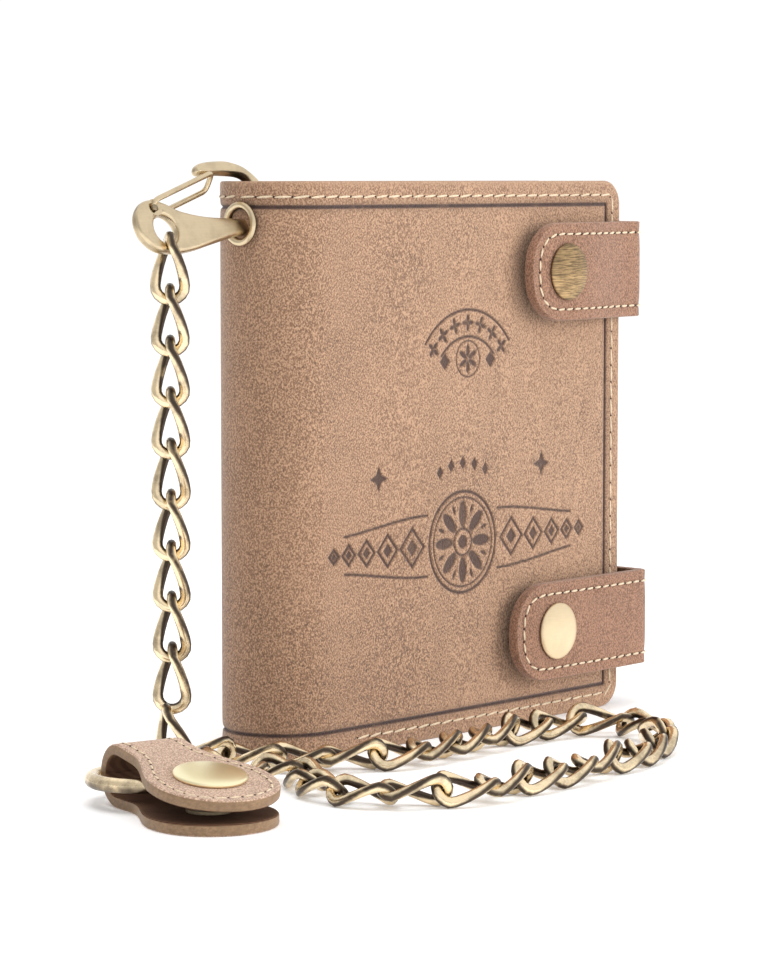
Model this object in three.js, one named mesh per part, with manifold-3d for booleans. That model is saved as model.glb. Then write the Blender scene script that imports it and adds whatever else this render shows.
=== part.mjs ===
// A chain wallet: a leather wallet that stands on its lower edge, two snap straps that
// close it, and a curb chain that runs from a snap hook in the spine to a belt tab.
// Millimetres, +X from the spine to the free edge, the front looks along -Y, +Z up.
import * as THREE from 'three';
import ManifoldModule from 'manifold-3d';

const manifold = await ManifoldModule();
manifold.setup();

// ---- driving sizes ---------------------------------------------------------------
const HEIGHT = 120;
const WIDTH = 112;
const SPINE_RADIUS = 12.9;          // half of the closed wallet's thickness at the spine
const FREE_EDGE_TAPER = 2.4;        // how much thinner each half is at the free edge
const MIDDLE = [-2, 2.285, 0];      // the wallet's own middle, seen from the part's origin

const COVER_THICKNESS = 1.8;
const LINING_THICKNESS = 0.7;
const RIVET_SPACE = 0.9;            // between cover and lining, where snap rivets end
const TOUCH = 0.3;                  // gap between pieces that touch
const CORNER_RADIUS = 5.5;
const FOLD_GAP = 1.5;               // slit between spine and back cover, where it folds

const STRAP_THICKNESS = 2.6;
const STRAP_LINING = 1.1;
const STRAP_HEIGHT = 21.6;
const STRAP_STAND_OFF = 2.6;        // snap height between cover and strap
const STRAP_ANCHOR = 22;            // length sewn to the back cover
const STRAP_TIP_RADIUS = 9.8;
const STRAPS = {                    // height of the middle, and tip and snap along X
  lower: { z: 20.4, tip: 12.9, snap: 26.3 },
  upper: { z: 100, tip: 17.8, snap: 29.6 },
};

const EYELET_HEIGHT = 111.3;
const EYELET_SIDE = -1;
const HOOK_LEAN = 25;               // degrees, top of the hook towards the back

const LINK_WIRE = 2.2;
const LINK_WIDTH = 8.2;
const LINK_PITCH = 10.4;
const HANGING_LINKS = 10;
const RUN_RADIUS = 3.6;

const RING_WIRE = 3;
const RING_INSIDE = 20;
const TAB_THICKNESS = 2.3;

const SPINE_X = -WIDTH / 2 + SPINE_RADIUS;   // where the round spine meets the flat covers
const EDGE_X = WIDTH / 2;

// ---- looks -------------------------------------------------------------------------
const look = (color, roughness, metalness) => new THREE.MeshStandardMaterial({ color, roughness, metalness });
const tan = look(0xa07c5f, 0.85, 0);
const strapTan = look(0x8d6a50, 0.85, 0);
const lining = look(0x5d4232, 0.9, 0);
const brass = look(0x9a8457, 0.35, 1);
const darkBrass = look(0x6b5d43, 0.4, 1);

const part = new THREE.Group();
const wallet = new THREE.Group();
wallet.position.set(...MIDDLE);
part.add(wallet);

function add(name, geometry, material, group = wallet) {
  const mesh = new THREE.Mesh(geometry, material);
  mesh.name = name;
  group.add(mesh);
  return mesh;
}

// ---- solid helpers -----------------------------------------------------------------
function toManifold(geometry) {
  const flat = geometry.index ? geometry.toNonIndexed() : geometry;
  const position = flat.getAttribute('position');
  const numbers = new Map();
  const vertices = [];
  const triangles = [];
  for (let i = 0; i < position.count; i += 1) {
    const point = [position.getX(i), position.getY(i), position.getZ(i)];
    const key = point.map((value) => Math.round(value * 1e4)).join();
    if (!numbers.has(key)) {
      numbers.set(key, vertices.length / 3);
      vertices.push(...point);
    }
    triangles.push(numbers.get(key));
  }
  const whole = [];
  for (let i = 0; i < triangles.length; i += 3) {
    const corners = triangles.slice(i, i + 3);
    if (new Set(corners).size === 3) {
      whole.push(...corners);
    }
  }
  const mesh = new manifold.Mesh({
    numProp: 3,
    vertProperties: new Float32Array(vertices),
    triVerts: new Uint32Array(whole),
  });
  return new manifold.Manifold(mesh);
}

function toGeometry(solid) {
  const mesh = solid.getMesh();
  const geometry = new THREE.BufferGeometry();
  geometry.setAttribute('position', new THREE.BufferAttribute(mesh.vertProperties, 3));
  geometry.setIndex(new THREE.BufferAttribute(mesh.triVerts, 1));
  return geometry;
}

const cut = (base, ...tools) =>
  toGeometry(tools.reduce((solid, tool) => solid.subtract(toManifold(tool)), toManifold(base)));

const common = (a, b) => toGeometry(toManifold(a).intersect(toManifold(b)));

// Half thickness of the closed wallet at x: full at the spine, thinner at the free edge.
function halfThickness(x) {
  const along = (x - SPINE_X) / (EDGE_X - SPINE_X);
  return SPINE_RADIUS - FREE_EDGE_TAPER * along * Math.max(along, 0);
}

// A sheet that follows a cover, side -1 in front and +1 behind, starting inset inside it.
function coverSheet(side, inset, thickness, fromX, toX, fromZ, toZ) {
  const steps = Math.max(2, Math.round((toX - fromX) / 16));
  const outer = [];
  const inner = [];
  for (let i = 0; i <= steps; i += 1) {
    const x = fromX + ((toX - fromX) * i) / steps;
    outer.push(new THREE.Vector2(x, side * (halfThickness(x) - inset)));
    inner.push(new THREE.Vector2(x, side * (halfThickness(x) - inset - thickness)));
  }
  const shape = new THREE.Shape([...outer, ...inner.reverse()]);
  const sheet = new THREE.ExtrudeGeometry(shape, { depth: toZ - fromZ, bevelEnabled: false });
  return sheet.translate(0, 0, fromZ);
}

// A block along Y whose outline in X and Z has four corner radii, for rounding sheets.
// Radii go round from low X, low Z: [near low, far low, far high, near high].
function roundedBlock(fromX, toX, fromZ, toZ, radii) {
  const [nearLow, farLow, farHigh, nearHigh] = radii;
  const shape = new THREE.Shape();
  shape.moveTo(fromX + nearLow, fromZ);
  shape.lineTo(toX - farLow, fromZ);
  shape.absarc(toX - farLow, fromZ + farLow, farLow, -Math.PI / 2, 0);
  shape.lineTo(toX, toZ - farHigh);
  shape.absarc(toX - farHigh, toZ - farHigh, farHigh, 0, Math.PI / 2);
  shape.lineTo(fromX + nearHigh, toZ);
  shape.absarc(fromX + nearHigh, toZ - nearHigh, nearHigh, Math.PI / 2, Math.PI);
  shape.lineTo(fromX, fromZ + nearLow);
  shape.absarc(fromX + nearLow, fromZ + nearLow, nearLow, Math.PI, Math.PI * 1.5);
  const depth = 80;
  const block = new THREE.ExtrudeGeometry(shape, { depth, bevelEnabled: false, curveSegments: 4 });
  return block.rotateX(Math.PI / 2).translate(0, depth / 2, 0);
}

const SHARP = 0.01;
const freeEdgeBlock = roundedBlock(-80, EDGE_X, 0, HEIGHT, [SHARP, CORNER_RADIUS, CORNER_RADIUS, SHARP]);

const box = (fromX, toX, fromY, toY, fromZ, toZ) =>
  new THREE.BoxGeometry(toX - fromX, toY - fromY, toZ - fromZ)
    .translate((fromX + toX) / 2, (fromY + toY) / 2, (fromZ + toZ) / 2);

// A turned piece about its own +Z, from [radius, height] pairs that close on themselves.
function turned(profile, sides = 20) {
  const points = profile.map(([radius, height]) => new THREE.Vector2(radius, height));
  return new THREE.LatheGeometry(points, sides).rotateX(Math.PI / 2);
}

const pinHole = (radius, length) => new THREE.CylinderGeometry(radius, radius, length, 12).rotateX(Math.PI / 2);

const closedWire = (curve, radius, segments, sides) =>
  new THREE.TubeGeometry(curve, segments, radius, sides, true);

// ---- covers and spine --------------------------------------------------------------
// Frame on the outside of the front cover at x, z: its own +Z looks out of the leather.
function frontPlace(x, z) {
  const slope = halfThickness(x - 0.5) - halfThickness(x + 0.5);
  const place = new THREE.Group();
  place.position.set(x, -halfThickness(x), z);
  place.rotation.set(Math.PI / 2, Math.atan(slope), 0, 'XYZ');
  wallet.add(place);
  place.updateMatrix();
  return place;
}

const snapPlaces = Object.entries(STRAPS).map(([name, { z, snap }]) => [name, frontPlace(snap, z)]);
const POST_HOLE_RADIUS = 1.7;

function buildCovers() {
  const frontBody = coverSheet(-1, 0, COVER_THICKNESS, SPINE_X + TOUCH, EDGE_X, 0, HEIGHT);
  const postHoles = snapPlaces.map(([, place]) =>
    pinHole(POST_HOLE_RADIUS, 10).applyMatrix4(place.matrix));
  add('front_cover', cut(common(frontBody, freeEdgeBlock), ...postHoles), tan);

  const backBody = coverSheet(1, 0, COVER_THICKNESS, SPINE_X + FOLD_GAP / 2, EDGE_X, 0, HEIGHT);
  add('back_cover', common(backBody, freeEdgeBlock), tan);

  const slit = FOLD_GAP / 2 / SPINE_RADIUS;
  const roll = new THREE.Shape();
  roll.absarc(SPINE_X, 0, SPINE_RADIUS, Math.PI / 2 + slit, Math.PI * 1.5, false);
  roll.absarc(SPINE_X, 0, SPINE_RADIUS - COVER_THICKNESS, Math.PI * 1.5, Math.PI / 2 + slit, true);
  const spineBody = new THREE.ExtrudeGeometry(roll, { depth: HEIGHT, bevelEnabled: false, curveSegments: 12 });
  const eyeletHole = pinHole(EYELET.barrel + 0.2, 12)
    .rotateY(Math.PI / 2)
    .translate(-WIDTH / 2, EYELET_SIDE, EYELET_HEIGHT);
  add('spine_cover', cut(spineBody, eyeletHole), tan);
}

// ---- linings, note compartments and pockets ----------------------------------------
const PANEL = { from: 2.0, to: 2.8 };           // inner panels, from the middle plane
const POCKET = { from: 0.9, to: 1.75 };         // pocket strips on the inner panels
const COIN_FLAP = { from: 0.15, to: 0.65 };
const INNER_EDGE = 1.5;                         // inner pieces end this far inside the cover
const INNER_START = SPINE_X + 4;
const CARD_POCKETS = 3;
const CARD_STEP = 28;

const liningInset = COVER_THICKNESS + RIVET_SPACE;
const innerEdge = EDGE_X - INNER_EDGE;
const innerBlock = roundedBlock(-80, innerEdge, INNER_EDGE, HEIGHT - INNER_EDGE, [SHARP, 4, 4, SHARP]);

function innerPlate(side, layer, fromX, toX, fromZ, toZ) {
  const [low, high] = side < 0 ? [-layer.to, -layer.from] : [layer.from, layer.to];
  return box(fromX, toX, low, high, fromZ, toZ);
}

function buildHalf(label, side) {
  const liningBody = coverSheet(side, liningInset, LINING_THICKNESS, INNER_START, innerEdge, 0, HEIGHT);
  add(`${label}_lining`, common(liningBody, innerBlock), lining);

  const panel = innerPlate(side, PANEL, INNER_START, innerEdge, 0, HEIGHT);
  add(`${label}_inner_panel`, common(panel, innerBlock), strapTan);

  // The gusset closes the note compartment along its foot and its free edge.
  const gussetReach = halfThickness(EDGE_X) - liningInset - LINING_THICKNESS - TOUCH;
  const gusset = { from: PANEL.to + TOUCH, to: gussetReach };
  const foot = innerPlate(side, gusset, INNER_START, innerEdge, 0, 2);
  const post = innerPlate(side, gusset, innerEdge - 2, innerEdge, 0, HEIGHT - 8);
  add(`${label}_gusset`, toGeometry(toManifold(foot).add(toManifold(post))), lining);
}

function buildInside() {
  buildHalf('front', -1);
  buildHalf('back', 1);
  for (let i = 0; i < CARD_POCKETS; i += 1) {
    const low = 4 + CARD_STEP * i;
    const strip = innerPlate(-1, POCKET, INNER_START + 2, innerEdge - 3, low, low + CARD_STEP - 1);
    add(`card_pocket_${i + 1}`, strip, strapTan);
  }
  const coinSpan = [INNER_START + 4, innerEdge - 6];
  add('coin_pocket', innerPlate(1, POCKET, ...coinSpan, 5, 66), strapTan);
  add('coin_pocket_gusset', innerPlate(1, POCKET, ...coinSpan, 66.3, 72), lining);
  add('coin_pocket_flap', innerPlate(1, COIN_FLAP, ...coinSpan, 44, 74), strapTan);
}

// ---- straps ------------------------------------------------------------------------
// Each strap is an anchor on the back cover, a wrap around the free edge and a flap on
// the front. The wrap and the flap fold at their inner corners.
const WRAP_X = EDGE_X + 2.5;
const cornerY = halfThickness(WRAP_X);

function buildStrap(name) {
  const { z, tip } = STRAPS[name];
  const low = z - STRAP_HEIGHT / 2;
  const high = z + STRAP_HEIGHT / 2;
  const foldX = WRAP_X - TOUCH;
  const anchorFrom = EDGE_X - STRAP_ANCHOR;
  const anchor = coverSheet(1, -TOUCH - STRAP_THICKNESS, STRAP_THICKNESS, anchorFrom, foldX, low, high);
  const anchorBlock = roundedBlock(anchorFrom, 90, low, high, [3, SHARP, SHARP, 3]);
  add(`${name}_strap_anchor`, common(anchor, anchorBlock), strapTan);

  const wrapFromY = -cornerY - STRAP_STAND_OFF + TOUCH;
  add(`${name}_strap_wrap`, box(WRAP_X, WRAP_X + STRAP_THICKNESS, wrapFromY, cornerY, low, high), strapTan);

  const leather = STRAP_THICKNESS - STRAP_LINING - 0.05;
  const holes = snapPlaces.find(([label]) => label === name)[1].matrix;
  const hole = () => pinHole(SNAP.neckHole, 30).applyMatrix4(holes);
  const tipBlock = (inset) => roundedBlock(tip + inset, 90, low + inset, high - inset,
    [STRAP_TIP_RADIUS, SHARP, SHARP, STRAP_TIP_RADIUS]);
  const outer = coverSheet(-1, -STRAP_STAND_OFF - STRAP_THICKNESS, leather, tip, foldX, low, high);
  add(`${name}_strap_flap`, cut(common(outer, tipBlock(0)), hole()), strapTan);
  const under = coverSheet(-1, -STRAP_STAND_OFF - STRAP_LINING, STRAP_LINING, tip, foldX, low, high);
  add(`${name}_strap_flap_lining`, cut(common(under, tipBlock(0.4)), hole()), lining);
}

// ---- snap fasteners ----------------------------------------------------------------
// Heights are measured outwards from the face that carries the stud.
const SNAP = { capRadius: 6.3, capHeight: 1.9, plateRadius: 4.6, neckHole: 2.5, nipple: 1.5 };

function buildSnap(name, place, gap, strap, capRadius, capPlace = place) {
  const studTop = gap - 0.85;
  add(`${name}_stud`, turned([
    [0, 0.15], [SNAP.plateRadius, 0.15], [SNAP.plateRadius, 0.7], [2.1, 0.95],
    [SNAP.nipple, 1.2], [SNAP.nipple, studTop + 0.5], [0, studTop + 0.5],
  ]), darkBrass, place);
  add(`${name}_post`, turned([
    [0, -2.65], [3.4, -2.65], [3.4, -2.1], [1.2, -2.1], [1.2, 0], [0, 0],
  ], 14), darkBrass, place);
  const seat = capPlace === place ? gap : 0;
  add(`${name}_socket`, turned([
    [2.6, seat - 0.85], [SNAP.plateRadius, seat - 0.85], [SNAP.plateRadius, seat - 0.1], [2.6, seat - 0.1],
    [2.6, seat - 0.85],
  ]), darkBrass, capPlace);
  const face = seat + strap + 0.1;
  add(`${name}_cap`, turned([
    [0, seat + 0.1], [1.9, seat + 0.1], [1.9, face], [capRadius, face],
    [capRadius, face + 0.6], [capRadius * 0.9, face + 1.1], [capRadius * 0.6, face + 1.6],
    [0, face + SNAP.capHeight],
  ], 24), brass, capPlace);
}

// ---- eyelet ------------------------------------------------------------------------
const EYELET = { flange: 4.6, hole: 3.2, barrel: 3.7 };

function buildEyelet() {
  const place = new THREE.Group();
  place.position.set(-WIDTH / 2, EYELET_SIDE, EYELET_HEIGHT);
  place.rotation.set(0, -Math.PI / 2, 0);
  wallet.add(place);
  add('eyelet_barrel', turned([
    [EYELET.hole, -4], [EYELET.barrel, -4], [EYELET.barrel, 0.3], [EYELET.flange, 0.3],
    [EYELET.flange - 0.2, 0.9], [EYELET.hole + 0.3, 1.1], [EYELET.hole, 0.6], [EYELET.hole, -4],
  ]), brass, place);
  add('eyelet_washer', turned([
    [EYELET.barrel + 0.1, -4.2], [EYELET.flange, -4.2], [EYELET.flange, -3.6],
    [EYELET.barrel + 0.1, -3.6], [EYELET.barrel + 0.1, -4.2],
  ]), brass, place);
}

// ---- snap hook ---------------------------------------------------------------------
// The hook lies in one plane: u runs outwards from the eyelet, v runs up the plane.
const HOOK_THICKNESS = 2.6;
const HOOK_EYE = { u: 22.6, v: -1.4, radius: 3.2 };
const GATE_PIVOT = { u: 24.2, v: 3.3, radius: 0.85 };
const GATE_TIP = { u: 5.4, v: 9.5 };
const GATE_WIRE = 1.15;
const GATE_HALF_SPAN = 2.15;
const HOOK_BACK = [
  [8.3, 11.0], [8.6, 12.3], [7.2, 13.3], [3.2, 13.8], [-1.2, 13.7], [-5.6, 12.1], [-8.9, 8.3],
  [-9.8, 3.6], [-7.6, -0.8], [-3.6, -2.3], [2.4, -2.4], [9.5, -3.9], [16.4, -5.6], [21.6, -6.3],
  [26.6, -5.6], [29.5, -2.6], [29.6, 1.4], [27.2, 4.4],
];
const HOOK_FRONT = [
  [24.2, 5.2], [20.8, 4.4], [17.2, 2.7], [11.2, 0.8], [4.0, 0.4], [-2.8, 0.5], [-5.8, 1.7],
  [-6.6, 4.6], [-5.9, 8.4], [-4.0, 10.5], [1.0, 11.0], [5.6, 10.9],
];

function hookGroup() {
  const plane = new THREE.Group();
  plane.position.set(-WIDTH / 2, EYELET_SIDE, EYELET_HEIGHT);
  const lean = THREE.MathUtils.degToRad(HOOK_LEAN);
  const u = new THREE.Vector3(-1, 0, 0);
  const v = new THREE.Vector3(0, Math.sin(lean), Math.cos(lean));
  const matrix = new THREE.Matrix4().makeBasis(u, v, new THREE.Vector3().crossVectors(u, v));
  plane.quaternion.setFromRotationMatrix(matrix);
  wallet.add(plane);
  return plane;
}

function buildHook() {
  const plane = hookGroup();
  const outline = new THREE.Shape([...HOOK_BACK, ...HOOK_FRONT].map(([u, v]) => new THREE.Vector2(u, v)));
  for (const hole of [HOOK_EYE, GATE_PIVOT]) {
    const ring = new THREE.Path();
    ring.absarc(hole.u, hole.v, hole.radius, 0, Math.PI * 2, true);
    outline.holes.push(ring);
  }
  const settings = { depth: HOOK_THICKNESS, bevelEnabled: false, curveSegments: 7 };
  const plate = new THREE.ExtrudeGeometry(outline, settings).translate(0, 0, -HOOK_THICKNESS / 2);
  add('hook_body', plate, brass, plane);

  const pivot = new THREE.Vector3(GATE_PIVOT.u, GATE_PIVOT.v, 0);
  const tip = new THREE.Vector3(GATE_TIP.u, GATE_TIP.v, 0);
  const corners = [[pivot, -1], [tip, -1], [tip, 1], [pivot, 1]];
  const path = new THREE.CurvePath();
  const round = 0.25;
  const spot = ([end, side]) => end.clone().setZ(side * GATE_HALF_SPAN);
  corners.forEach((corner, i) => {
    const here = spot(corner);
    const next = spot(corners[(i + 1) % 4]);
    const last = spot(corners[(i + 3) % 4]);
    const away = (to) => {
      const length = here.distanceTo(to);
      return here.clone().lerp(to, Math.min(0.45, (round * 4) / length));
    };
    path.add(new THREE.QuadraticBezierCurve3(away(last), here, away(next)));
    const after = next.clone().lerp(here, Math.min(0.45, (round * 4) / here.distanceTo(next)));
    path.add(new THREE.LineCurve3(away(next), after));
  });
  add('hook_gate', closedWire(path, GATE_WIRE / 2, 40, 6), brass, plane);
  return plane;
}

// ---- chain -------------------------------------------------------------------------
// A link is a stadium of wire, its long axis along its own +Z.
class LinkCurve extends THREE.Curve {
  getPoint(t, target = new THREE.Vector3()) {
    const side = (LINK_WIDTH - LINK_WIRE) / 2;
    const straight = (LINK_PITCH + LINK_WIRE + 0.2) / 2 - side;
    const angle = t * Math.PI * 2;
    const reach = Math.sign(Math.round(Math.sin(angle) * 1e6)) * straight;
    return target.set(side * Math.cos(angle), 0, side * Math.sin(angle) + reach);
  }
}

const linkGeometry = closedWire(new LinkCurve(), LINK_WIRE / 2, 12, 6);
const linkHalf = (LINK_PITCH + LINK_WIRE + 0.2) / 2;

// The free-lying run, from the last hanging link to the link on the ring.
const FLOOR_ROUTE = [
  [-70, -6], [-65, -11], [-58, -21], [-46, -31], [-32, -33], [-14, -32], [4, -31], [15, -33],
  [21, -42], [15, -55], [-2, -65], [-21, -69], [-44, -70.5], [-62, -70], [-73, -64],
  [-79, -54], [-78, -43], [-73.5, -35], [-71, -27.5], [-73.5, -22], [-80.4, -21.2],
];

// Where the top of the first link's wire sits: on the wall under the hook's eye.
function hangingStart(plane) {
  const wallTop = HOOK_EYE.v - HOOK_EYE.radius;
  const wallMiddle = wallTop - 0.9;
  plane.updateMatrix();
  const onWall = (v) => new THREE.Vector3(HOOK_EYE.u, v, 0).applyMatrix4(plane.matrix);
  return onWall(wallMiddle).setZ(onWall(wallTop).z + LINK_WIRE / 2 + 0.8);
}

function buildChain(plane) {
  const start = hangingStart(plane);
  for (let i = 0; i < HANGING_LINKS; i += 1) {
    const name = `chain_link_${String(i + 1).padStart(2, '0')}`;
    const link = add(name, linkGeometry, i % 2 ? darkBrass : brass);
    link.position.set(start.x, start.y, start.z - linkHalf - LINK_PITCH * i);
    link.rotation.z = Math.PI / 2 + (i % 2 ? -Math.PI / 2 : 0);
  }
  const route = new THREE.CatmullRomCurve3(
    FLOOR_ROUTE.map(([x, y]) => new THREE.Vector3(x, y, RUN_RADIUS)), false, 'centripetal');
  const section = new THREE.Shape();
  section.absarc(0, 0, RUN_RADIUS, 0, Math.PI * 2);
  add('chain_floor_run', new THREE.ExtrudeGeometry(section, {
    steps: 44, curveSegments: 4, bevelEnabled: false, extrudePath: route,
  }), darkBrass);
}

// ---- ring and belt tab ---------------------------------------------------------------
// Places in the tab are along it from its fold, across it, and up.
const TAB = {
  fold: [-104, -21], heading: -104, neckHalf: 7.3, endHalf: 12.5, endCentre: 27.5,
  leafStart: 3.5, topInside: 10.2, slope: 9, snap: 26.5,
};
const RING = { centre: [2.4, 1, 5.2], tilt: 2, linkAngle: 110 };
const ringRadius = (RING_INSIDE + RING_WIRE) / 2;

function buildRing(tab) {
  const ring = add('key_ring', new THREE.TorusGeometry(ringRadius, RING_WIRE / 2, 8, 24), brass, tab);
  ring.position.set(...RING.centre);
  ring.rotation.y = THREE.MathUtils.degToRad(-RING.tilt);

  const angle = THREE.MathUtils.degToRad(RING.linkAngle);
  const out = new THREE.Vector3(Math.cos(angle), Math.sin(angle), 0);
  const hold = out.clone().multiplyScalar(ringRadius).applyEuler(ring.rotation).add(ring.position);
  const reach = linkHalf - (LINK_WIRE + RING_WIRE) / 2 - 0.1;
  const link = add('chain_end_link', linkGeometry, brass, tab);
  link.position.copy(hold).addScaledVector(out, reach);
  const across = new THREE.Vector3().crossVectors(out, new THREE.Vector3(0, 0, 1));
  link.quaternion.setFromRotationMatrix(new THREE.Matrix4().makeBasis(new THREE.Vector3(0, 0, 1), across, out));
}

// Outline of a leaf seen from above, from its fold end to its round end.
function leafOutline(start, inset) {
  const neck = TAB.neckHalf - inset;
  const end = TAB.endHalf - inset;
  const shape = new THREE.Shape();
  shape.moveTo(start, -neck);
  shape.lineTo(start + 4, -neck);
  shape.bezierCurveTo(start + 10, -neck, TAB.endCentre - 10, -end, TAB.endCentre, -end);
  shape.absarc(TAB.endCentre, 0, end, -Math.PI / 2, Math.PI / 2);
  shape.bezierCurveTo(TAB.endCentre - 10, end, start + 10, neck, start + 4, neck);
  shape.lineTo(start, neck);
  return shape;
}

function leaf(start, inset, thickness) {
  return new THREE.ExtrudeGeometry(leafOutline(start, inset),
    { depth: thickness, bevelEnabled: false, curveSegments: 6 });
}

function tabGroup() {
  const tab = new THREE.Group();
  tab.position.set(...TAB.fold, 0);
  tab.rotation.z = THREE.MathUtils.degToRad(TAB.heading);
  wallet.add(tab);
  return tab;
}

function buildTab(tab) {
  const lowerPlace = new THREE.Group();
  lowerPlace.position.set(TAB.snap, 0, TAB_THICKNESS);
  tab.add(lowerPlace);
  lowerPlace.updateMatrix();
  const postHole = pinHole(POST_HOLE_RADIUS, 20).translate(TAB.snap, 0, 0);
  const recess = new THREE.CylinderGeometry(3.8, 3.8, 1.2, 14).rotateX(Math.PI / 2).translate(TAB.snap, 0, 0);
  add('tab_lower_leaf', cut(leaf(TAB.leafStart, 0, TAB_THICKNESS), postHole, recess), strapTan, tab);

  // The fold is a band bent around the ring, a C in section.
  const height = TAB.topInside + TAB_THICKNESS;
  const bend = height / 2;
  const fold = new THREE.Shape();
  fold.absarc(TAB.leafStart - TOUCH, bend, bend, Math.PI / 2, Math.PI * 1.5);
  fold.absarc(TAB.leafStart - TOUCH, bend, bend - TAB_THICKNESS, Math.PI * 1.5, Math.PI / 2, true);
  const width = TAB.neckHalf * 2;
  const band = new THREE.ExtrudeGeometry(fold, { depth: width, bevelEnabled: false, curveSegments: 8 });
  band.rotateX(Math.PI / 2).translate(0, width / 2, 0);
  add('tab_fold', band, strapTan, tab);

  const flap = new THREE.Group();
  flap.position.set(TAB.leafStart, 0, TAB.topInside);
  flap.rotation.y = THREE.MathUtils.degToRad(TAB.slope);
  tab.add(flap);
  const along = TAB.snap - TAB.leafStart;
  const hole = () => pinHole(SNAP.neckHole, 20).translate(along, 0, 0);
  const liningPart = 0.9;
  const upper = leaf(TAB.leafStart, 0, TAB_THICKNESS - liningPart - 0.05)
    .translate(-TAB.leafStart, 0, liningPart + 0.05);
  add('tab_upper_leaf', cut(upper, hole()), strapTan, flap);
  const under = leaf(TAB.leafStart, 0.3, liningPart).translate(-TAB.leafStart, 0, 0);
  add('tab_upper_lining', cut(under, hole()), lining, flap);

  const capPlace = new THREE.Group();
  capPlace.position.set(along, 0, 0);
  flap.add(capPlace);
  const gap = TAB.topInside - TAB_THICKNESS - Math.tan(THREE.MathUtils.degToRad(TAB.slope)) * along;
  buildSnap('tab_snap', lowerPlace, gap, TAB_THICKNESS, 7.1, capPlace);
}

// ---- assembly ----------------------------------------------------------------------
buildCovers();
buildInside();
for (const [name, place] of snapPlaces) {
  buildStrap(name);
  buildSnap(`${name}_snap`, place, STRAP_STAND_OFF, STRAP_THICKNESS, SNAP.capRadius);
}
buildEyelet();
buildChain(buildHook());
const tab = tabGroup();
buildRing(tab);
buildTab(tab);

export default part;
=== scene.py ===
"""A chain wallet: leather shell, snap straps, snap hook, curb chain and belt tab.

The pieces are modelled in millimetres in the wallet's own frame, with the spine towards -X,
the front towards -Y and the standing edge at Z 0, and then placed in the part's frame.
"""

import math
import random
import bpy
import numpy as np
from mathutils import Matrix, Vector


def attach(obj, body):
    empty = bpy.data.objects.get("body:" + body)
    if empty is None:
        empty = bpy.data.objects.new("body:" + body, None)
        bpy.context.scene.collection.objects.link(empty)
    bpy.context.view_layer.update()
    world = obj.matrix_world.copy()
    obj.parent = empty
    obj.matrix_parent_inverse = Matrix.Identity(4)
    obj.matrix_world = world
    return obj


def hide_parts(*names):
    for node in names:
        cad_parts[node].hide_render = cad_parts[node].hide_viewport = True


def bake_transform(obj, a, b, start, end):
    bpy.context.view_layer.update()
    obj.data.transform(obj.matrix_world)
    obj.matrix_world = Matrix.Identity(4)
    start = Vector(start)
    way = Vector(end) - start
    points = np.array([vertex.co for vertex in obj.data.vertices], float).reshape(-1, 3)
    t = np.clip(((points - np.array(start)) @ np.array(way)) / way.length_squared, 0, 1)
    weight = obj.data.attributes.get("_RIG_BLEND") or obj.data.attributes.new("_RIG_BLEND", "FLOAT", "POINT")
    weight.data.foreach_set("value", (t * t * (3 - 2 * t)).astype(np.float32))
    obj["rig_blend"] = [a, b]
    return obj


bl_info = {
    "name": "Chain wallet",
    "version": (1, 0, 0),
    "blender": (4, 5, 0),
    "location": "3D View > Sidebar > Chain wallet",
    "description": "Builds a leather chain wallet with its hook, chain and belt tab",
    "category": "Add Mesh",
}

from bisect import bisect_right

import bmesh
import bpy
from mathutils import Matrix, Vector

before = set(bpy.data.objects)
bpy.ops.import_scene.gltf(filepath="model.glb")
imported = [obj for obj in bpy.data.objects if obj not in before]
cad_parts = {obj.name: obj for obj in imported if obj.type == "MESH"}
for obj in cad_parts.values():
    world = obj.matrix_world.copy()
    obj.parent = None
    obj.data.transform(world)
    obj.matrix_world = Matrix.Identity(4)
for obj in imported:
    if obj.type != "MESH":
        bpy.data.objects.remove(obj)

MM = 0.001
MIDDLE = Vector((-2.0, 2.285, 0.0))
TO_PART = Matrix.Scale(MM, 4) @ Matrix.Translation(MIDDLE)

# ---- the wallet's sizes, in millimetres ------------------------------------------------
HEIGHT = 120.0
EDGE_X = 56.0
SPINE_RADIUS = 12.9
SPINE_X = SPINE_RADIUS - EDGE_X
FREE_EDGE_TAPER = 2.4
COVER_THICKNESS = 1.8
CORNER_RADIUS = 5.5
FLAT_LENGTH = EDGE_X - SPINE_X
SPINE_LENGTH = math.pi * SPINE_RADIUS
COVER_LENGTH = 2 * FLAT_LENGTH + SPINE_LENGTH

STRAP_THICKNESS = 2.6
STRAP_HEIGHT = 21.6
STRAP_STAND_OFF = 2.6
STRAP_ANCHOR_X = 34.0
STRAP_TIP_RADIUS = 9.8
STRAP_CORNER = 2.4
WRAP_X = 61.1
ANCHOR_GAP = 0.3
STRAPS = {
    "lower": {"z": 20.4, "tip": 12.9, "snap": 26.3, "tip_rise": 2.2, "edge_rise": 2.8},
    "upper": {"z": 100.0, "tip": 17.8, "snap": 29.6, "tip_rise": 2.4, "edge_rise": 0.5},
}

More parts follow.
